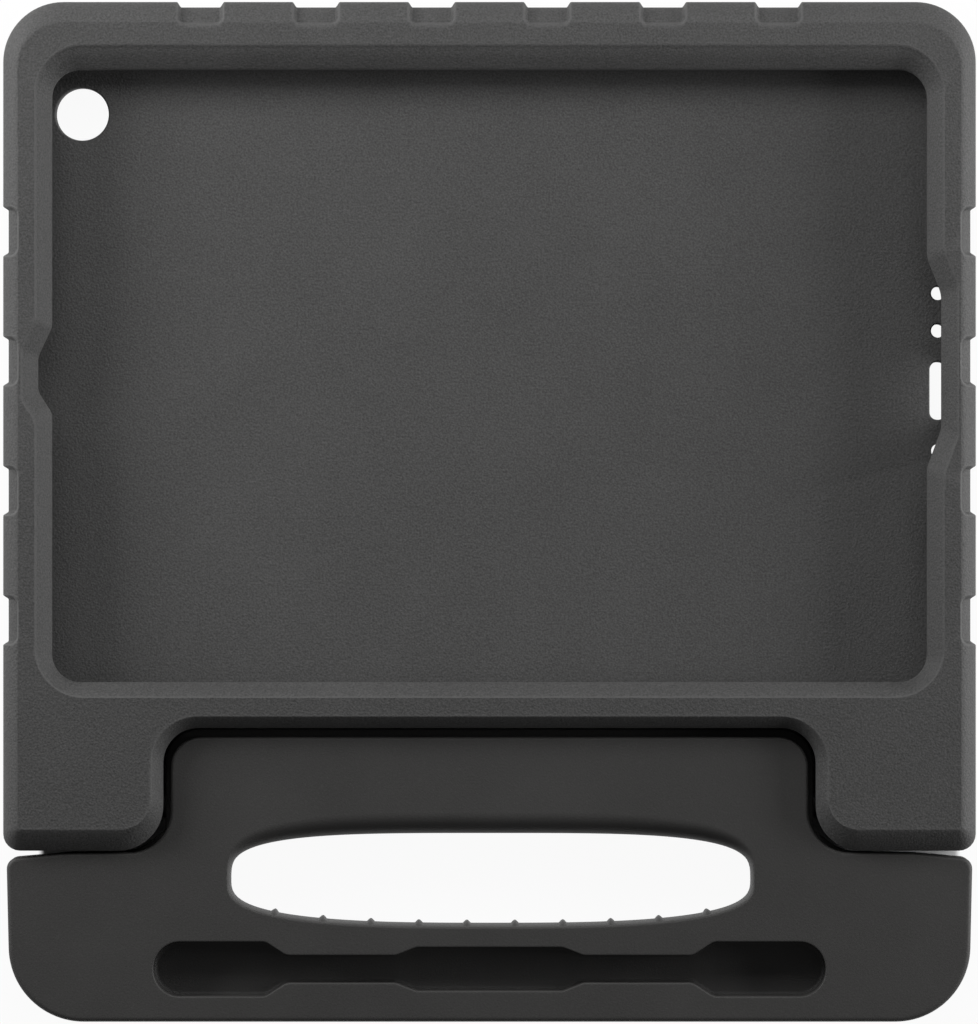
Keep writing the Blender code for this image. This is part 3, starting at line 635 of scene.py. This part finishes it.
def case_levels():
    """Rings of the outer skin, back to front: (z, insets, leg end, outward share, upward share)."""
    levels = []
    for extra in BACK_RINGS:
        inset = BACK_FILLET + extra / 1000
        levels.append((0.0, (inset,) * 4, leg_end_at(0.0) + extra / 1000, 0.0, -1.0))
    for k in range(9):
        a = math.pi / 2 * k / 8
        inset, z = BACK_FILLET * (1 - math.sin(a)), BACK_FILLET * (1 - math.cos(a))
        levels.append((z, (inset,) * 4, leg_end_at(z), math.sin(a), -math.cos(a)))
    for z in WALL_RINGS:
        levels.append((z, (0.0,) * 4, leg_end_at(z), 1.0, 0.0))
    base = CASE_T - FRONT_FILLET_H
    rises = soft_edge(20)
    reach = (FILLET_SIDE, FILLET_TOP, FILLET_LEG, FILLET_NOTCH)
    powers = (EDGE_POWER, EDGE_POWER, LEG_EDGE_POWER, LEG_EDGE_POWER)
    for i, rise in enumerate(rises):
        before, after = rises[max(i - 1, 0)], rises[min(i + 1, len(rises) - 1)]
        run = inset_share(after, EDGE_POWER) - inset_share(before, EDGE_POWER)
        slope = Vector((run, (after - before) * FILLET_STEEPNESS)).normalized()
        out, up = (slope.y, slope.x) if i < len(rises) - 1 else (0.0, 1.0)
        insets = tuple(r * inset_share(rise, power) for r, power in zip(reach, powers))
        leg_end = AXIS_Y - LEG_REACH + insets[2]
        levels.append((base + FRONT_FILLET_H * rise, insets, leg_end, out, up))
    for side, other in FRONT_RINGS:
        insets = (FILLET_SIDE + side / 1000, *(r + other / 1000 for r in reach[1:]))
        levels.append((CASE_T, insets, AXIS_Y - LEG_REACH + insets[2], 0.0, 1.0))
    return levels


def outer_skin(shell):
    """The case's outside, with what the grip channels need to know at each point."""
    layers = shell.bm.verts.layers
    top_run, side_run = layers.float.new("top_run"), layers.float.new("side_run")
    past_end, outward = layers.float.new("past_end"), layers.float_vector.new("outward")
    rings = []
    for z, (side, top, leg, notch), leg_end, out, up in case_levels():
        front = z > CASE_T / 2
        points = rim(
            CASE_HALF_W - side,
            CASE_TOP - top,
            leg_end,
            NOTCH_HALF_W + notch,
            NOTCH_TOP + notch,
            side,
        )
        ring = shell.ring([(x, y, z) for x, y, *_ in points])
        for vert, (x, y, out_x, out_y, edge) in zip(ring, points):
            vert[top_run] = x if edge == "top" else FAR
            vert[side_run] = y - SIDE_MIDDLE if edge == "side" else FAR
            inset, end = (top, FRONT_END_TOP) if edge == "top" else (side, FRONT_END_SIDE)
            vert[past_end] = inset - (end if front else BACK_END)
            vert[outward] = Vector((out_x * out, out_y * out, up))
        rings.append(ring)
    for first, second in zip(rings, rings[1:]):
        shell.wall(first, second)
    return rings[0], rings[-1]


def window_outline(share, extra=0.0):
    """The window's outline; share goes from the lip, 0, to the top of the bevel, 1."""
    side = WINDOW_HALF_W + BEVEL_SIDE * share + extra
    low = WINDOW_BOTTOM - BEVEL_BOTTOM * share - extra
    high = WINDOW_TOP + BEVEL_TOP * share + extra
    radius = WINDOW_R + (BEVEL_R - WINDOW_R) * share + extra
    spread = SCOOP_SPREAD * share
    corners = [(-side, low, radius), (side, low, radius)]
    for i, (y, out) in enumerate(PORT_SCOOP):
        corners.append((side + out, y + (spread if i > 1 else -spread), PORT_SCOOP_R))
    corners += [(side, high, radius), (-side, high, radius)]
    for i, (y, out) in enumerate(CAMERA_SCOOP):
        corners.append((-side - out, y - (spread if i > 1 else -spread), CAMERA_SCOOP_R))
    return rounded(corners, (16, 16, 6, 6, 6, 6, 16, 16, 6, 6, 6, 6))


def window_levels():
    """From the case's front down the bevel and the lip to the lip's underside."""
    levels = [at_height(window_outline(1.06, 0.00012), CASE_T)]
    # A curve rolls the front over into the bevel
    start, corner, end = (1.06, CASE_T), (0.985, CASE_T), (0.87, CASE_T - 0.00068)
    for k in range(6):
        t = k / 5
        share, z = (
            start[i] * (1 - t) ** 2 + corner[i] * 2 * t * (1 - t) + end[i] * t**2 for i in (0, 1)
        )
        levels.append(at_height(window_outline(share), z))
    for share in (0.80, 0.45, 0.12):
        z = LIP_TOP + (CASE_T - LIP_TOP) * (share - 0.02) / 0.96
        levels.append(at_height(window_outline(share), z))
    # The lip's upper and lower edges are broken
    for share, z in ((0.045, LIP_TOP), (0.015, LIP_TOP - 0.0003), (0.0, LIP_TOP - 0.0007)):
        levels.append(at_height(window_outline(share), z))
    for share, z in ((0.0, POCKET_TOP + 0.0004), (0.02, POCKET_TOP + 0.0001), (0.06, POCKET_TOP)):
        levels.append(at_height(window_outline(share), z))
    return levels


def pocket_outline(shrink=0.0):
    right, low, high = POCKET_RIGHT - shrink, POCKET_LOW + shrink, POCKET_HIGH - shrink
    left, chamber = POCKET_LEFT + shrink, CHAMBER_RIGHT - shrink
    corners = [
        (left, low, POCKET_R - shrink),
        (right, low, POCKET_R - shrink),
        (right, CHAMBER_LOW + shrink, CHAMBER_R),
        (chamber, CHAMBER_LOW + shrink, CHAMBER_R - shrink / 2),
        (chamber, CHAMBER_HIGH - shrink, CHAMBER_R - shrink / 2),
        (right, CHAMBER_HIGH - shrink, CHAMBER_R),
        (right, high, POCKET_R - shrink),
        (left, high, POCKET_R - shrink),
    ]
    return rounded(corners, (12, 12, 4, 4, 4, 4, 12, 12))


def pocket_levels():
    foot = POCKET_FOOT_R
    levels = [at_height(pocket_outline(), z) for z in (POCKET_TOP, POCKET_FLOOR + foot)]
    for across, up in quarter_round(4)[1:]:
        levels.append(at_height(pocket_outline(foot * across), POCKET_FLOOR + foot * (1 - up)))
    return levels


def opening_outlines():
    """The sound holes and the slot, as outlines that grow by what they are given."""

    def slot(grow):
        half_w = SLOT_HALF_W + grow
        return rounded_box(SOUND_X, PORT_Y, half_w, SLOT_HALF_L + grow, half_w * 0.9, 6)

    holes = [
        lambda grow, y=PORT_Y + offset: circle(SOUND_X, y, SOUND_R + grow, 28)
        for offset in SOUND_OFFSETS
    ]
    return [*holes, slot]


def through_openings(shell):
    """Walls of what goes through the back wall; gives the rings on the floor and on the back."""
    on_floor = [(grow, POCKET_FLOOR - z) for grow, z in reversed(EDGE_BREAK)]
    stacks = [
        [at_height(outline(grow), z) for grow, z in (*EDGE_BREAK, *on_floor)]
        for outline in opening_outlines()
    ]
    sections = [(CAMERA_MOUTH_R + 0.0004, 0.0), (CAMERA_MOUTH_R, 0.0003)]
    sections += [(CAMERA_R + 0.0002, CAMERA_MOUTH_H - 0.0002), (CAMERA_R, CAMERA_MOUTH_H + 0.0003)]
    sections += [(CAMERA_R + grow, z) for grow, z in on_floor]
    stacks.append([at_height(circle(CAMERA_X, CAMERA_Y, r, 64), z) for r, z in sections])
    ends = [shell.stack(levels) for levels in stacks]
    return [floor for _, floor in ends], [back for back, _ in ends]


def sink_channels(obj, material):
    """Sinks the grip channels into the skin wherever their strips cross it."""
    sizes = {
        "Depth": CHANNEL_DEPTH,
        "Softness": CHANNEL_SOFT,
        "End radius": CHANNEL_END_R,
        "Top count": float(TOP_CHANNELS),
        "Top pitch": TOP_PITCH,
        "Top width": TOP_CHANNEL_W,
        "Side count": float(SIDE_CHANNELS),
        "Side pitch": SIDE_PITCH,
        "Side width": SIDE_CHANNEL_W,
    }
    tree, skin, size, values = open_group("grip_channels", sizes)

    def stored(name, kind="FLOAT"):
        return tree.add("GeometryNodeInputNamedAttribute", {"data_type": kind}, {"Name": name})

    def strips(run, count, pitch, width):
        reach = count * pitch * 0.5
        lane = (run + reach).math("FLOORED_MODULO", run + reach, pitch) - pitch * 0.5
        across = abs(lane) - width * 0.5 + size["End radius"]
        along = stored("past_end") + size["End radius"]
        corner = (across.at_least(0.0) ** 2.0 + along.at_least(0.0) ** 2.0) ** 0.5
        distance = corner + across.at_least(along).at_most(0.0) - size["End radius"]
        sunk = 1.0 - distance.rise(size["Softness"] * -1.0, size["Softness"])
        return sunk * abs(run).below(reach)

    top = strips(stored("top_run"), size["Top count"], size["Top pitch"], size["Top width"])
    side = strips(stored("side_run"), size["Side count"], size["Side pitch"], size["Side width"])
    offset = tree.add(
        "ShaderNodeVectorMath",
        {"operation": "SCALE"},
        {
            "Vector": stored("outward", "FLOAT_VECTOR"),
            "Scale": top.at_least(side) * size["Depth"] * -1.0,
        },
    )
    sunk = tree.add("GeometryNodeSetPosition", {}, {"Geometry": skin, "Offset": offset})
    close_group(tree, sunk, material)
    work_in(obj, tree, values)
    for name in ("top_run", "side_run", "past_end", "outward"):
        obj.data.attributes.remove(obj.data.attributes[name])


def port_mouth(grow):
    half_l, half_h, radius = PORT_HALF_L + grow, PORT_HALF_H + grow, PORT_R + grow
    return rounded_box(PORT_Y, PORT_Z, half_l, half_h, radius, 10)


def case_cutters():
    """The two side ports, the sound holes at the pocket's wall and the legs' bush seats."""
    wall = CASE_HALF_W
    flare = ((0.0, -0.0009), (0.00012, -0.0005), (0.0004, -0.0002), (0.0008, 0.0), (0.0028, 0.002))
    port = [(CHAMBER_RIGHT - 0.001, port_mouth(0.0))]
    port += [(wall + x, port_mouth(grow)) for grow, x in flare]
    jack = [(-wall - x, circle(JACK_Y, PORT_Z, JACK_R + grow, 40)) for grow, x in reversed(flare)]
    jack += [(POCKET_LEFT + 0.001, circle(JACK_Y, PORT_Z, JACK_R, 40))]
    mouth = ((0.0014, -0.001), *EDGE_BREAK, (0.0, EDGE_SOUND_TOP))
    holes = [
        [at_height(circle(SOUND_X, PORT_Y + offset, SOUND_R + grow, 26), z) for grow, z in mouth]
        for offset in EDGE_SOUND_OFFSETS
    ]
    seat = circle(AXIS_Y, AXIS_Z, BUSH_R + FIT_GAP, 40)
    return [
        *(closed_bar("sound_cutter", levels) for levels in holes),
        cutter_along_x("port_cutter", port),
        cutter_along_x("jack_cutter", jack),
        cutter_along_x("left_seat_cutter", [(-BUSH_SEAT_END, seat), (-TONGUE_HALF_W, seat)]),
        cutter_along_x("right_seat_cutter", [(TONGUE_HALF_W, seat), (BUSH_SEAT_END, seat)]),
    ]


def build_case_body(material):
    shell = Shell()
    back, front = outer_skin(shell)
    front_edge, lip_under = shell.stack(window_levels())
    pocket_top, pocket_floor = shell.stack(pocket_levels())
    floor_rings, back_rings = through_openings(shell)
    shell.flat(front, front_edge)
    shell.flat(lip_under, pocket_top)
    shell.flat(pocket_floor, *floor_rings)
    shell.flat(back, *back_rings)
    body = shell.finish("case_body", material)
    sink_channels(body, material)
    cut_out(body, case_cutters())
    mark_worn_and_lit_edges(body)
    smooth(body)
    return body


# Handle


def foot_and_shoulder(inset_out, inset_in):
    """The handle's right corners from its foot up to the bend of its shoulder."""
    shoulder_r = max(SHOULDER_R - inset_in, SHOULDER_LEAST_R)
    return [
        (HANDLE_FOOT_HALF_W - inset_out, HANDLE_END + inset_out, HANDLE_END_R - inset_out),
        (HANDLE_HALF_W - inset_out, SHOULDER_OUT - inset_in, shoulder_r),
        (SHOULDER_BEND_X, SHOULDER_BEND - inset_in, SHOULDER_BEND_R),
    ]


def handle_outline(inset_out, inset_in):
    """The handle from the front: a wide bar with a tongue that fills the case's notch."""
    side = TONGUE_HALF_W - inset_in
    tongue = [
        (side, SHOULDER_IN - inset_in, FLARE_R + inset_in),
        (side, TONGUE_TOP - inset_in, TONGUE_R - inset_in),
    ]
    return rounded_both([*foot_and_shoulder(inset_out, inset_in), *tongue], (24, 10, 6, 18, 14))


def deep_outline(inset, flare):
    """The handle behind the groove, where it fills the case's notch."""
    corner_y, reach, flare_r = flare
    side = DEEP_HALF_W - inset
    tongue = [
        (DEEP_HALF_W + reach - inset, SHOULDER_IN - inset, flare_r),
        (side, corner_y - inset, DEEP_CORNER_R + inset),
        (side, DEEP_TOP - inset, DEEP_R - inset),
    ]
    return rounded_both([*foot_and_shoulder(inset, inset), *tongue], (24, 10, 6, 11, 6, 14))


def handle_skin_levels():
    levels = []
    for across in (1.6, 1.2):
        inset = HANDLE_BACK_ROUND * across
        levels.append(at_height(deep_outline(inset, BACK_FLARE), HANDLE_BACK))
    for across, up in reversed(quarter_round(8)):
        inset = HANDLE_BACK_ROUND * across
        z = HANDLE_BACK + HANDLE_BACK_ROUND * (1 - up)
        levels.append(at_height(deep_outline(inset, BACK_FLARE), z))
    levels.append(at_height(deep_outline(0.0, BACK_FLARE), LEDGE_BACK - 0.0002))
    levels.append(at_height(deep_outline(0.0, LEDGE_FLARE), LEDGE_BACK))
    for across, up in quarter_round(3):
        z = DEEP_FRONT - GROOVE_FOOT_R * (1 - up)
        levels.append(at_height(deep_outline(GROOVE_FOOT_R * across, LEDGE_FLARE), z))
    levels.append(at_height(handle_outline(0.0, 0.0), DEEP_FRONT + 0.0002))
    levels.append(at_height(handle_outline(0.0, 0.0), DEEP_FRONT + 0.0012))
    for across, up in quarter_round(6):
        inset = HANDLE_FRONT_ROUND * across
        z = HANDLE_FRONT - HANDLE_FRONT_ROUND * (1 - up)
        levels.append(at_height(handle_outline(inset, inset * 0.6), z))
    for extra in (0.0003, 0.0009):
        inner = handle_outline(HANDLE_FRONT_ROUND + extra, HANDLE_FRONT_ROUND * 0.6 + extra)
        levels.append(at_height(inner, HANDLE_FRONT))
    return levels


def grip_outline(side, up, down, count=260):
    """The grip opening: a long rounded eye, flatter above than below."""
    half = GRIP_HALF_L + side
    points = []
    brow, sill = (0, GRIP_UP + up, GRIP_UP_POWER), (180, -GRIP_DOWN - down, GRIP_DOWN_POWER)
    for low, height, power in (brow, sill):
        for k in range(240):
            a = math.radians(low + 180 * k / 240)
            c, s = math.cos(a), abs(math.sin(a))
            x = half * math.copysign(abs(c) ** (2 / power), c)
            points.append((GRIP_X + x, GRIP_Y + height * s ** (2 / power)))
    return resample(points, count)


def grip_levels():
    levels = [at_height(grip_outline(*(GRIP_BACK_ROUND + 0.0008,) * 3), HANDLE_BACK)]
    for across, up in reversed(quarter_round(6)):
        grown = grip_outline(*(GRIP_BACK_ROUND * across,) * 3)
        levels.append(at_height(grown, HANDLE_BACK + GRIP_BACK_ROUND * (1 - up)))
    for across, up in quarter_round(12):
        grown = grip_outline(GRIP_SIDE_ROUND * across, GRIP_BROW * across, GRIP_SILL_ROUND * across)
        levels.append(at_height(grown, HANDLE_FRONT - GRIP_ROUND_H * (1 - up)))
    for extra in (0.0003, 0.0009):
        grown = grip_outline(GRIP_SIDE_ROUND + extra, GRIP_BROW + extra, GRIP_SILL_ROUND + extra)
        levels.append(at_height(grown, HANDLE_FRONT))
    return levels


def well_outline(grow):
    """The stylus well: two long round ends and a middle, joined by narrow necks."""
    half = [
        (WELL_END_X + grow, WELL_END_H + grow, (WELL_END_H + grow) * 0.97),
        (WELL_RAMP_X, WELL_END_H + grow, WELL_BEND_R),
        (WELL_NECK_FAR_X, WELL_NECK_H + grow, WELL_BEND_R),
        (WELL_NECK_NEAR_X, WELL_NECK_H + grow, WELL_BEND_R),
        (WELL_MIDDLE_X, WELL_MIDDLE_H + grow, WELL_BEND_R),
    ]
    steps = [16, 6, 6, 6, 6]
    upper = half + [(-x, y, r) for x, y, r in reversed(half)]
    lower = [(x, -y, r) for x, y, r in reversed(upper)]
    corners = [(x, WELL_Y + y, r) for x, y, r in upper + lower]
    return rounded(corners, (steps + steps[::-1]) * 2)


def well_levels():
    levels = []
    floor = HANDLE_FRONT - WELL_DEPTH
    for across, up in reversed(quarter_round(5)):
        outline = well_outline(-WELL_FLOOR_ROUND * across)
        levels.append(at_height(outline, floor + WELL_FLOOR_ROUND * (1 - up)))
    for across, up in quarter_round(4):
        outline = well_outline(WELL_ROUND * across)
        levels.append(at_height(outline, HANDLE_FRONT - WELL_ROUND * (1 - up)))
    for extra in (0.0003, 0.0008):
        levels.append(at_height(well_outline(WELL_ROUND + extra), HANDLE_FRONT))
    return levels


def finger_rib():
    """One rib, standing on the grip opening's lower wall, its root at the origin."""
    shell = Shell()
    rings = []
    steps = 14
    for k in range(steps + 1):
        z = RIB_LOW + (RIB_HIGH - RIB_LOW) * k / steps
        up = max(0.0, 1 - (HANDLE_FRONT - z) / GRIP_ROUND_H)
        lean = GRIP_SILL_ROUND * (1 - math.sqrt(1 - up**2))
        fade = min(1.0, (z - RIB_LOW) / RIB_LOW_FADE, (RIB_HIGH - z) / RIB_HIGH_FADE)
        height = RIB_H * math.sin(math.pi / 2 * fade)
        ring = [(-RIB_HALF_W - RIB_SKIRT, -RIB_ROOT - lean, z)]
        for j in range(9):
            x = RIB_HALF_W * (j / 4 - 1)
            bump = (0.5 + 0.5 * math.cos(math.pi * x / RIB_HALF_W)) ** 0.8
            ring.append((x, (height + RIB_SUNK) * bump - RIB_SUNK - lean, z))
        ring.append((RIB_HALF_W + RIB_SKIRT, -RIB_ROOT - lean, z))
        rings.append(ring)
    first, last = shell.stack(rings)
    shell.bm.faces.new(first)
    shell.bm.faces.new(last)
    return shell.finish("finger_rib")


def add_finger_ribs(handle, material):
    """Stands the finger ribs along the grip opening's lower curve."""
    sizes = {
        "Count": RIBS,
        "Pitch": RIB_PITCH,
        "Half length": GRIP_HALF_L,
        "Drop": GRIP_DOWN,
        "Power": GRIP_DOWN_POWER,
    }
    tree, plain, size, values = open_group("finger_ribs", sizes)
    index = tree.add("GeometryNodeInputIndex")
    x = (index - (size["Count"] - 1.0) * 0.5) * size["Pitch"]
    share = abs(x) / size["Half length"]
    rest = 1.0 - share ** size["Power"]
    y = rest ** (1.0 / size["Power"]) * size["Drop"] * -1.0
    steep = share ** (size["Power"] - 1.0) * rest ** (1.0 / size["Power"] - 1.0)
    slope = steep * size["Drop"] / size["Half length"] * x.math("SIGN", x)
    place = tree.add("ShaderNodeCombineXYZ", {}, {"X": x + GRIP_X, "Y": y + GRIP_Y})
    spin = tree.add("ShaderNodeCombineXYZ", {}, {"Z": slope.math("ARCTANGENT", slope)})
    spots = tree.add("GeometryNodePoints", {}, {"Count": size["Count"], "Position": place})
    rib = finger_rib()
    shape = tree.add("GeometryNodeObjectInfo", {}, {"Object": rib}, output="Geometry")
    ribs = tree.add(
        "GeometryNodeInstanceOnPoints", {}, {"Points": spots, "Instance": shape, "Rotation": spin}
    )
    whole = tree.add("GeometryNodeJoinGeometry", {}, {0: [ribs, plain]})
    close_group(tree, whole, material)
    work_in(handle, tree, values)
    bpy.data.objects.remove(rib, do_unlink=True)


def build_handle_body(material):
    shell = Shell()
    skin_back, skin_front = shell.stack(handle_skin_levels())
    grip_back, grip_front = shell.stack(grip_levels())
    well_floor, well_front = shell.stack(well_levels())
    shell.flat(skin_back, grip_back)
    shell.flat(skin_front, grip_front, well_front)
    shell.flat(well_floor)
    handle = shell.finish("handle_body", material)
    bore = circle(AXIS_Y, AXIS_Z, ROD_R + FIT_GAP, 40)
    wide = circle(AXIS_Y, AXIS_Z, FLANGE_BORE_R, 40)
    mouth = DEEP_HALF_W + 0.001
    sections = [(-mouth, wide), (-FLANGE_BORE_X, wide), (-FLANGE_BORE_X, bore)]
    sections += [(-x, points) for x, points in reversed(sections)]
    cut_out(handle, [cutter_along_x("rod_bore_cutter", sections)])
    add_finger_ribs(handle, material)
    mark_worn_and_lit_edges(handle)
    smooth(handle)
    return handle


# Materials


def new_material(name):
    material = bpy.data.materials.new(name)
    material.use_nodes = True
    material.node_tree.nodes.clear()
    return material, Tree(material.node_tree)


def coated(material, tree, colour, roughness, more):
    """The material, with its surface made of these."""
    sockets = {"Base Color": colour, "Roughness": roughness, **more}
    shader = tree.add("ShaderNodeBsdfPrincipled", {}, sockets)
    tree.add("ShaderNodeOutputMaterial", {}, {"Surface": shader})
    return material


def moulded_foam(name, tone, warm, pebble, pebble_h, grain, wear_and_highlight_gain, rough):
    """Moulded foam with a pebbled skin, faint flow marks and edges made paler: partly rubbed wear,
    partly a painted highlight.
    """
    material, tree = new_material(name)
    place = tree.add("ShaderNodeTexCoord", output="Object")
    worn = tree.add("ShaderNodeAttribute", {"attribute_name": "worn"}, output="Fac")
    skin = tree.noise(place, 1.0 / pebble, 2.0)
    cells = tree.add(
        "ShaderNodeTexVoronoi", {"feature": "F1"}, {"Vector": place, "Scale": 0.8 / pebble}
    )
    flow = tree.noise(place, FLOW_SCALE, 3.0, 0.55)
    speck = tree.noise(place, 0.55 / pebble, 1.0).rise(SPECK_START, SPECK_FULL)
    marks = (skin - 0.5) * grain + (flow - 0.5) * FLOW_MARKS
    # The worn attribute lightens the edges: partly rubbed wear, partly a painted highlight on the
    # rounded edges and the lip.
    shade = marks + speck * SPECKS + worn * wear_and_highlight_gain + 0.5
    colour = tree.blend(shade, grey(tone * FOAM_DARK, warm), grey(tone * FOAM_PALE, warm * 0.6))
    sheen = (skin - 0.5) * SKIN_SHEEN + (flow - 0.5) * FLOW_SHEEN
    roughness = sheen - worn * WORN_SHEEN + rough
    height = skin * PEBBLE_HILLS + (1.0 - cells) * PEBBLE_CREASES
    bump = tree.bump(height, 0.8, pebble_h)
    more = {"Normal": bump, "Specular IOR Level": FOAM_GLOSS}
    return coated(material, tree, colour, roughness, more)


def drawn_steel():
    """Bright drawn rod: fine lines along it and a little tarnish."""
    material, tree = new_material("drawn_steel")
    place = tree.add("ShaderNodeTexCoord", output="Object")
    along = tree.add("ShaderNodeMapping", {}, {"Vector": place, "Scale": STEEL_LINES})
    lines = tree.noise(along, 1.0, 2.0)
    tarnish = tree.noise(place, TARNISH_SCALE, 3.0)
    colour = tree.blend(tarnish, STEEL_DARK, STEEL_PALE)
    roughness = lines * LINES_ROUGH + tarnish * TARNISH_ROUGH + STEEL_ROUGH
    bump = tree.bump(lines, 0.3, STEEL_LINE_DEPTH)
    return coated(material, tree, colour, roughness, {"Metallic": 1.0, "Normal": bump})


def black_nylon():
    """Turned nylon, slightly waxy, with faint tool rings."""
    material, tree = new_material("black_nylon")
    place = tree.add("ShaderNodeTexCoord", output="Object")
    rings = tree.add(
        "ShaderNodeTexWave",
        {"wave_type": "BANDS", "bands_direction": "X"},
        {"Vector": place, "Scale": NYLON_RINGS, "Distortion": 1.5, "Detail": 1.0},
    )
    dust = tree.noise(place, DUST_SCALE, 3.0)
    colour = tree.blend(dust, grey(NYLON_DARK), grey(NYLON_PALE))
    roughness = rings * RINGS_ROUGH + dust * DUST_ROUGH + NYLON_ROUGH
    bump = tree.bump(rings, 0.3, NYLON_RING_DEPTH)
    return coated(material, tree, colour, roughness, {"Normal": bump})


# Stage


def seen_directly(tree):
    """1 for what the camera sees straight, mirrored or through glass."""
    rays = ("Is Camera Ray", "Is Glossy Ray", "Is Transmission Ray")
    straight, mirrored, through = tree.add("ShaderNodeLightPath", output=rays)
    return straight.at_least(mirrored).at_least(through)


def under_hinge(tree):
    """1 on the floor below the hinge, where only the real light between the pieces falls."""
    place = tree.add("ShaderNodeTexCoord", output="Object")
    x, y = tree.add("ShaderNodeSeparateXYZ", {}, {0: place}, output=("X", "Y"))

    def over(value, limit, soft):
        return value.rise(limit, limit + soft)

    strip = over(y, STRIP_LOW, STRIP_SOFT) - over(y, STRIP_HIGH, STRIP_SOFT)
    between_tips = 1.0 - over(abs(x - STRIP_X), STRIP_HALF_L, 2 * STRIP_SOFT)
    beside_grip = over(abs(x), GRIP_CLEAR_HALF_L, 2 * STRIP_SOFT)
    above_grip = over(y, GRIP_CLEAR_TOP, STRIP_SOFT)
    return strip * between_tips * (1.0 - (1.0 - beside_grip) * (1.0 - above_grip))


def build_floor():
    material, tree = new_material("pale_floor")
    paper = tree.add("ShaderNodeBsdfDiffuse", {}, {"Color": grey(FLOOR_TONE)})
    white = tree.add("ShaderNodeEmission", {}, {"Color": grey(1.0), "Strength": 1.0})
    share = seen_directly(tree) * (1.0 - under_hinge(tree)) * FLOOR_WHITE
    shader = tree.add("ShaderNodeMixShader", {}, {0: share, 1: paper, 2: white})
    tree.add("ShaderNodeOutputMaterial", {}, {"Surface": shader})
    sheet = bpy.data.meshes.new("floor")
    far = FLOOR_HALF_W
    corners = [(-far, -far, 0), (far, -far, 0), (far, far, 0), (-far, far, 0)]
    sheet.from_pydata(corners, [], [(0, 1, 2, 3)])
    mesh_object("floor", sheet, material)


def build_world():
    world = bpy.data.worlds.new("studio")
    world.use_nodes = True
    world.node_tree.nodes.clear()
    tree = Tree(world.node_tree)
    dim = tree.add("ShaderNodeBackground", {}, {"Color": grey(1.0), "Strength": ROOM_LIGHT})
    white = tree.add("ShaderNodeBackground", {}, {"Color": grey(1.0), "Strength": 1.0})
    camera_ray = tree.add("ShaderNodeLightPath", output="Is Camera Ray")
    shader = tree.add("ShaderNodeMixShader", {}, {0: camera_ray, 1: dim, 2: white})
    tree.add("ShaderNodeOutputWorld", {}, {"Surface": shader})
    bpy.context.scene.world = world


def build_lights():
    for name, place, width, height, power in SOFT_BOXES:
        lamp = bpy.data.lights.new(name, "AREA")
        lamp.shape = "RECTANGLE"
        lamp.size, lamp.size_y = width, height
        lamp.energy = power
        box = bpy.data.objects.new(name, lamp)
        box.location = place
        towards = Vector(LIGHT_TARGET) - Vector(place)
        box.rotation_euler = towards.to_track_quat("-Z", "Y").to_euler()
        bpy.context.scene.collection.objects.link(box)


def build_camera():
    data = bpy.data.cameras.new("camera")
    data.sensor_fit = "AUTO"
    data.sensor_width = SENSOR * 1000
    data.lens = SENSOR * 1000 * CAMERA_ABOVE / (METRES_PER_PIXEL * PICTURE_H)
    data.clip_end = 100.0
    camera = bpy.data.objects.new("camera", data)
    x = (PICTURE_W / 2 - MIDDLE_PIXEL_X) * METRES_PER_PIXEL
    camera.location = (x, 0.0, FOCUS_Z + CAMERA_ABOVE)
    bpy.context.scene.collection.objects.link(camera)
    bpy.context.scene.camera = camera


def main():
    bpy.context.scene.view_settings.view_transform = "Standard"
    case_body = build_case_body(moulded_foam("case_foam_skin", *CASE_SKIN))
    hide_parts("case_shell")
    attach(case_body, "case")
    handle_body = build_handle_body(moulded_foam("handle_foam_skin", *HANDLE_SKIN))
    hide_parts("handle_stand")
    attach(handle_body, "handle")
    steel, nylon = drawn_steel(), black_nylon()
    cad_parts["hinge_rod"].material_slots[0].material = steel
    for name in ("leg_bush_left", "leg_bush_right"):
        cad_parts[name].material_slots[0].material = nylon
    build_floor()
    build_world()
    build_lights()
    build_camera()


main()
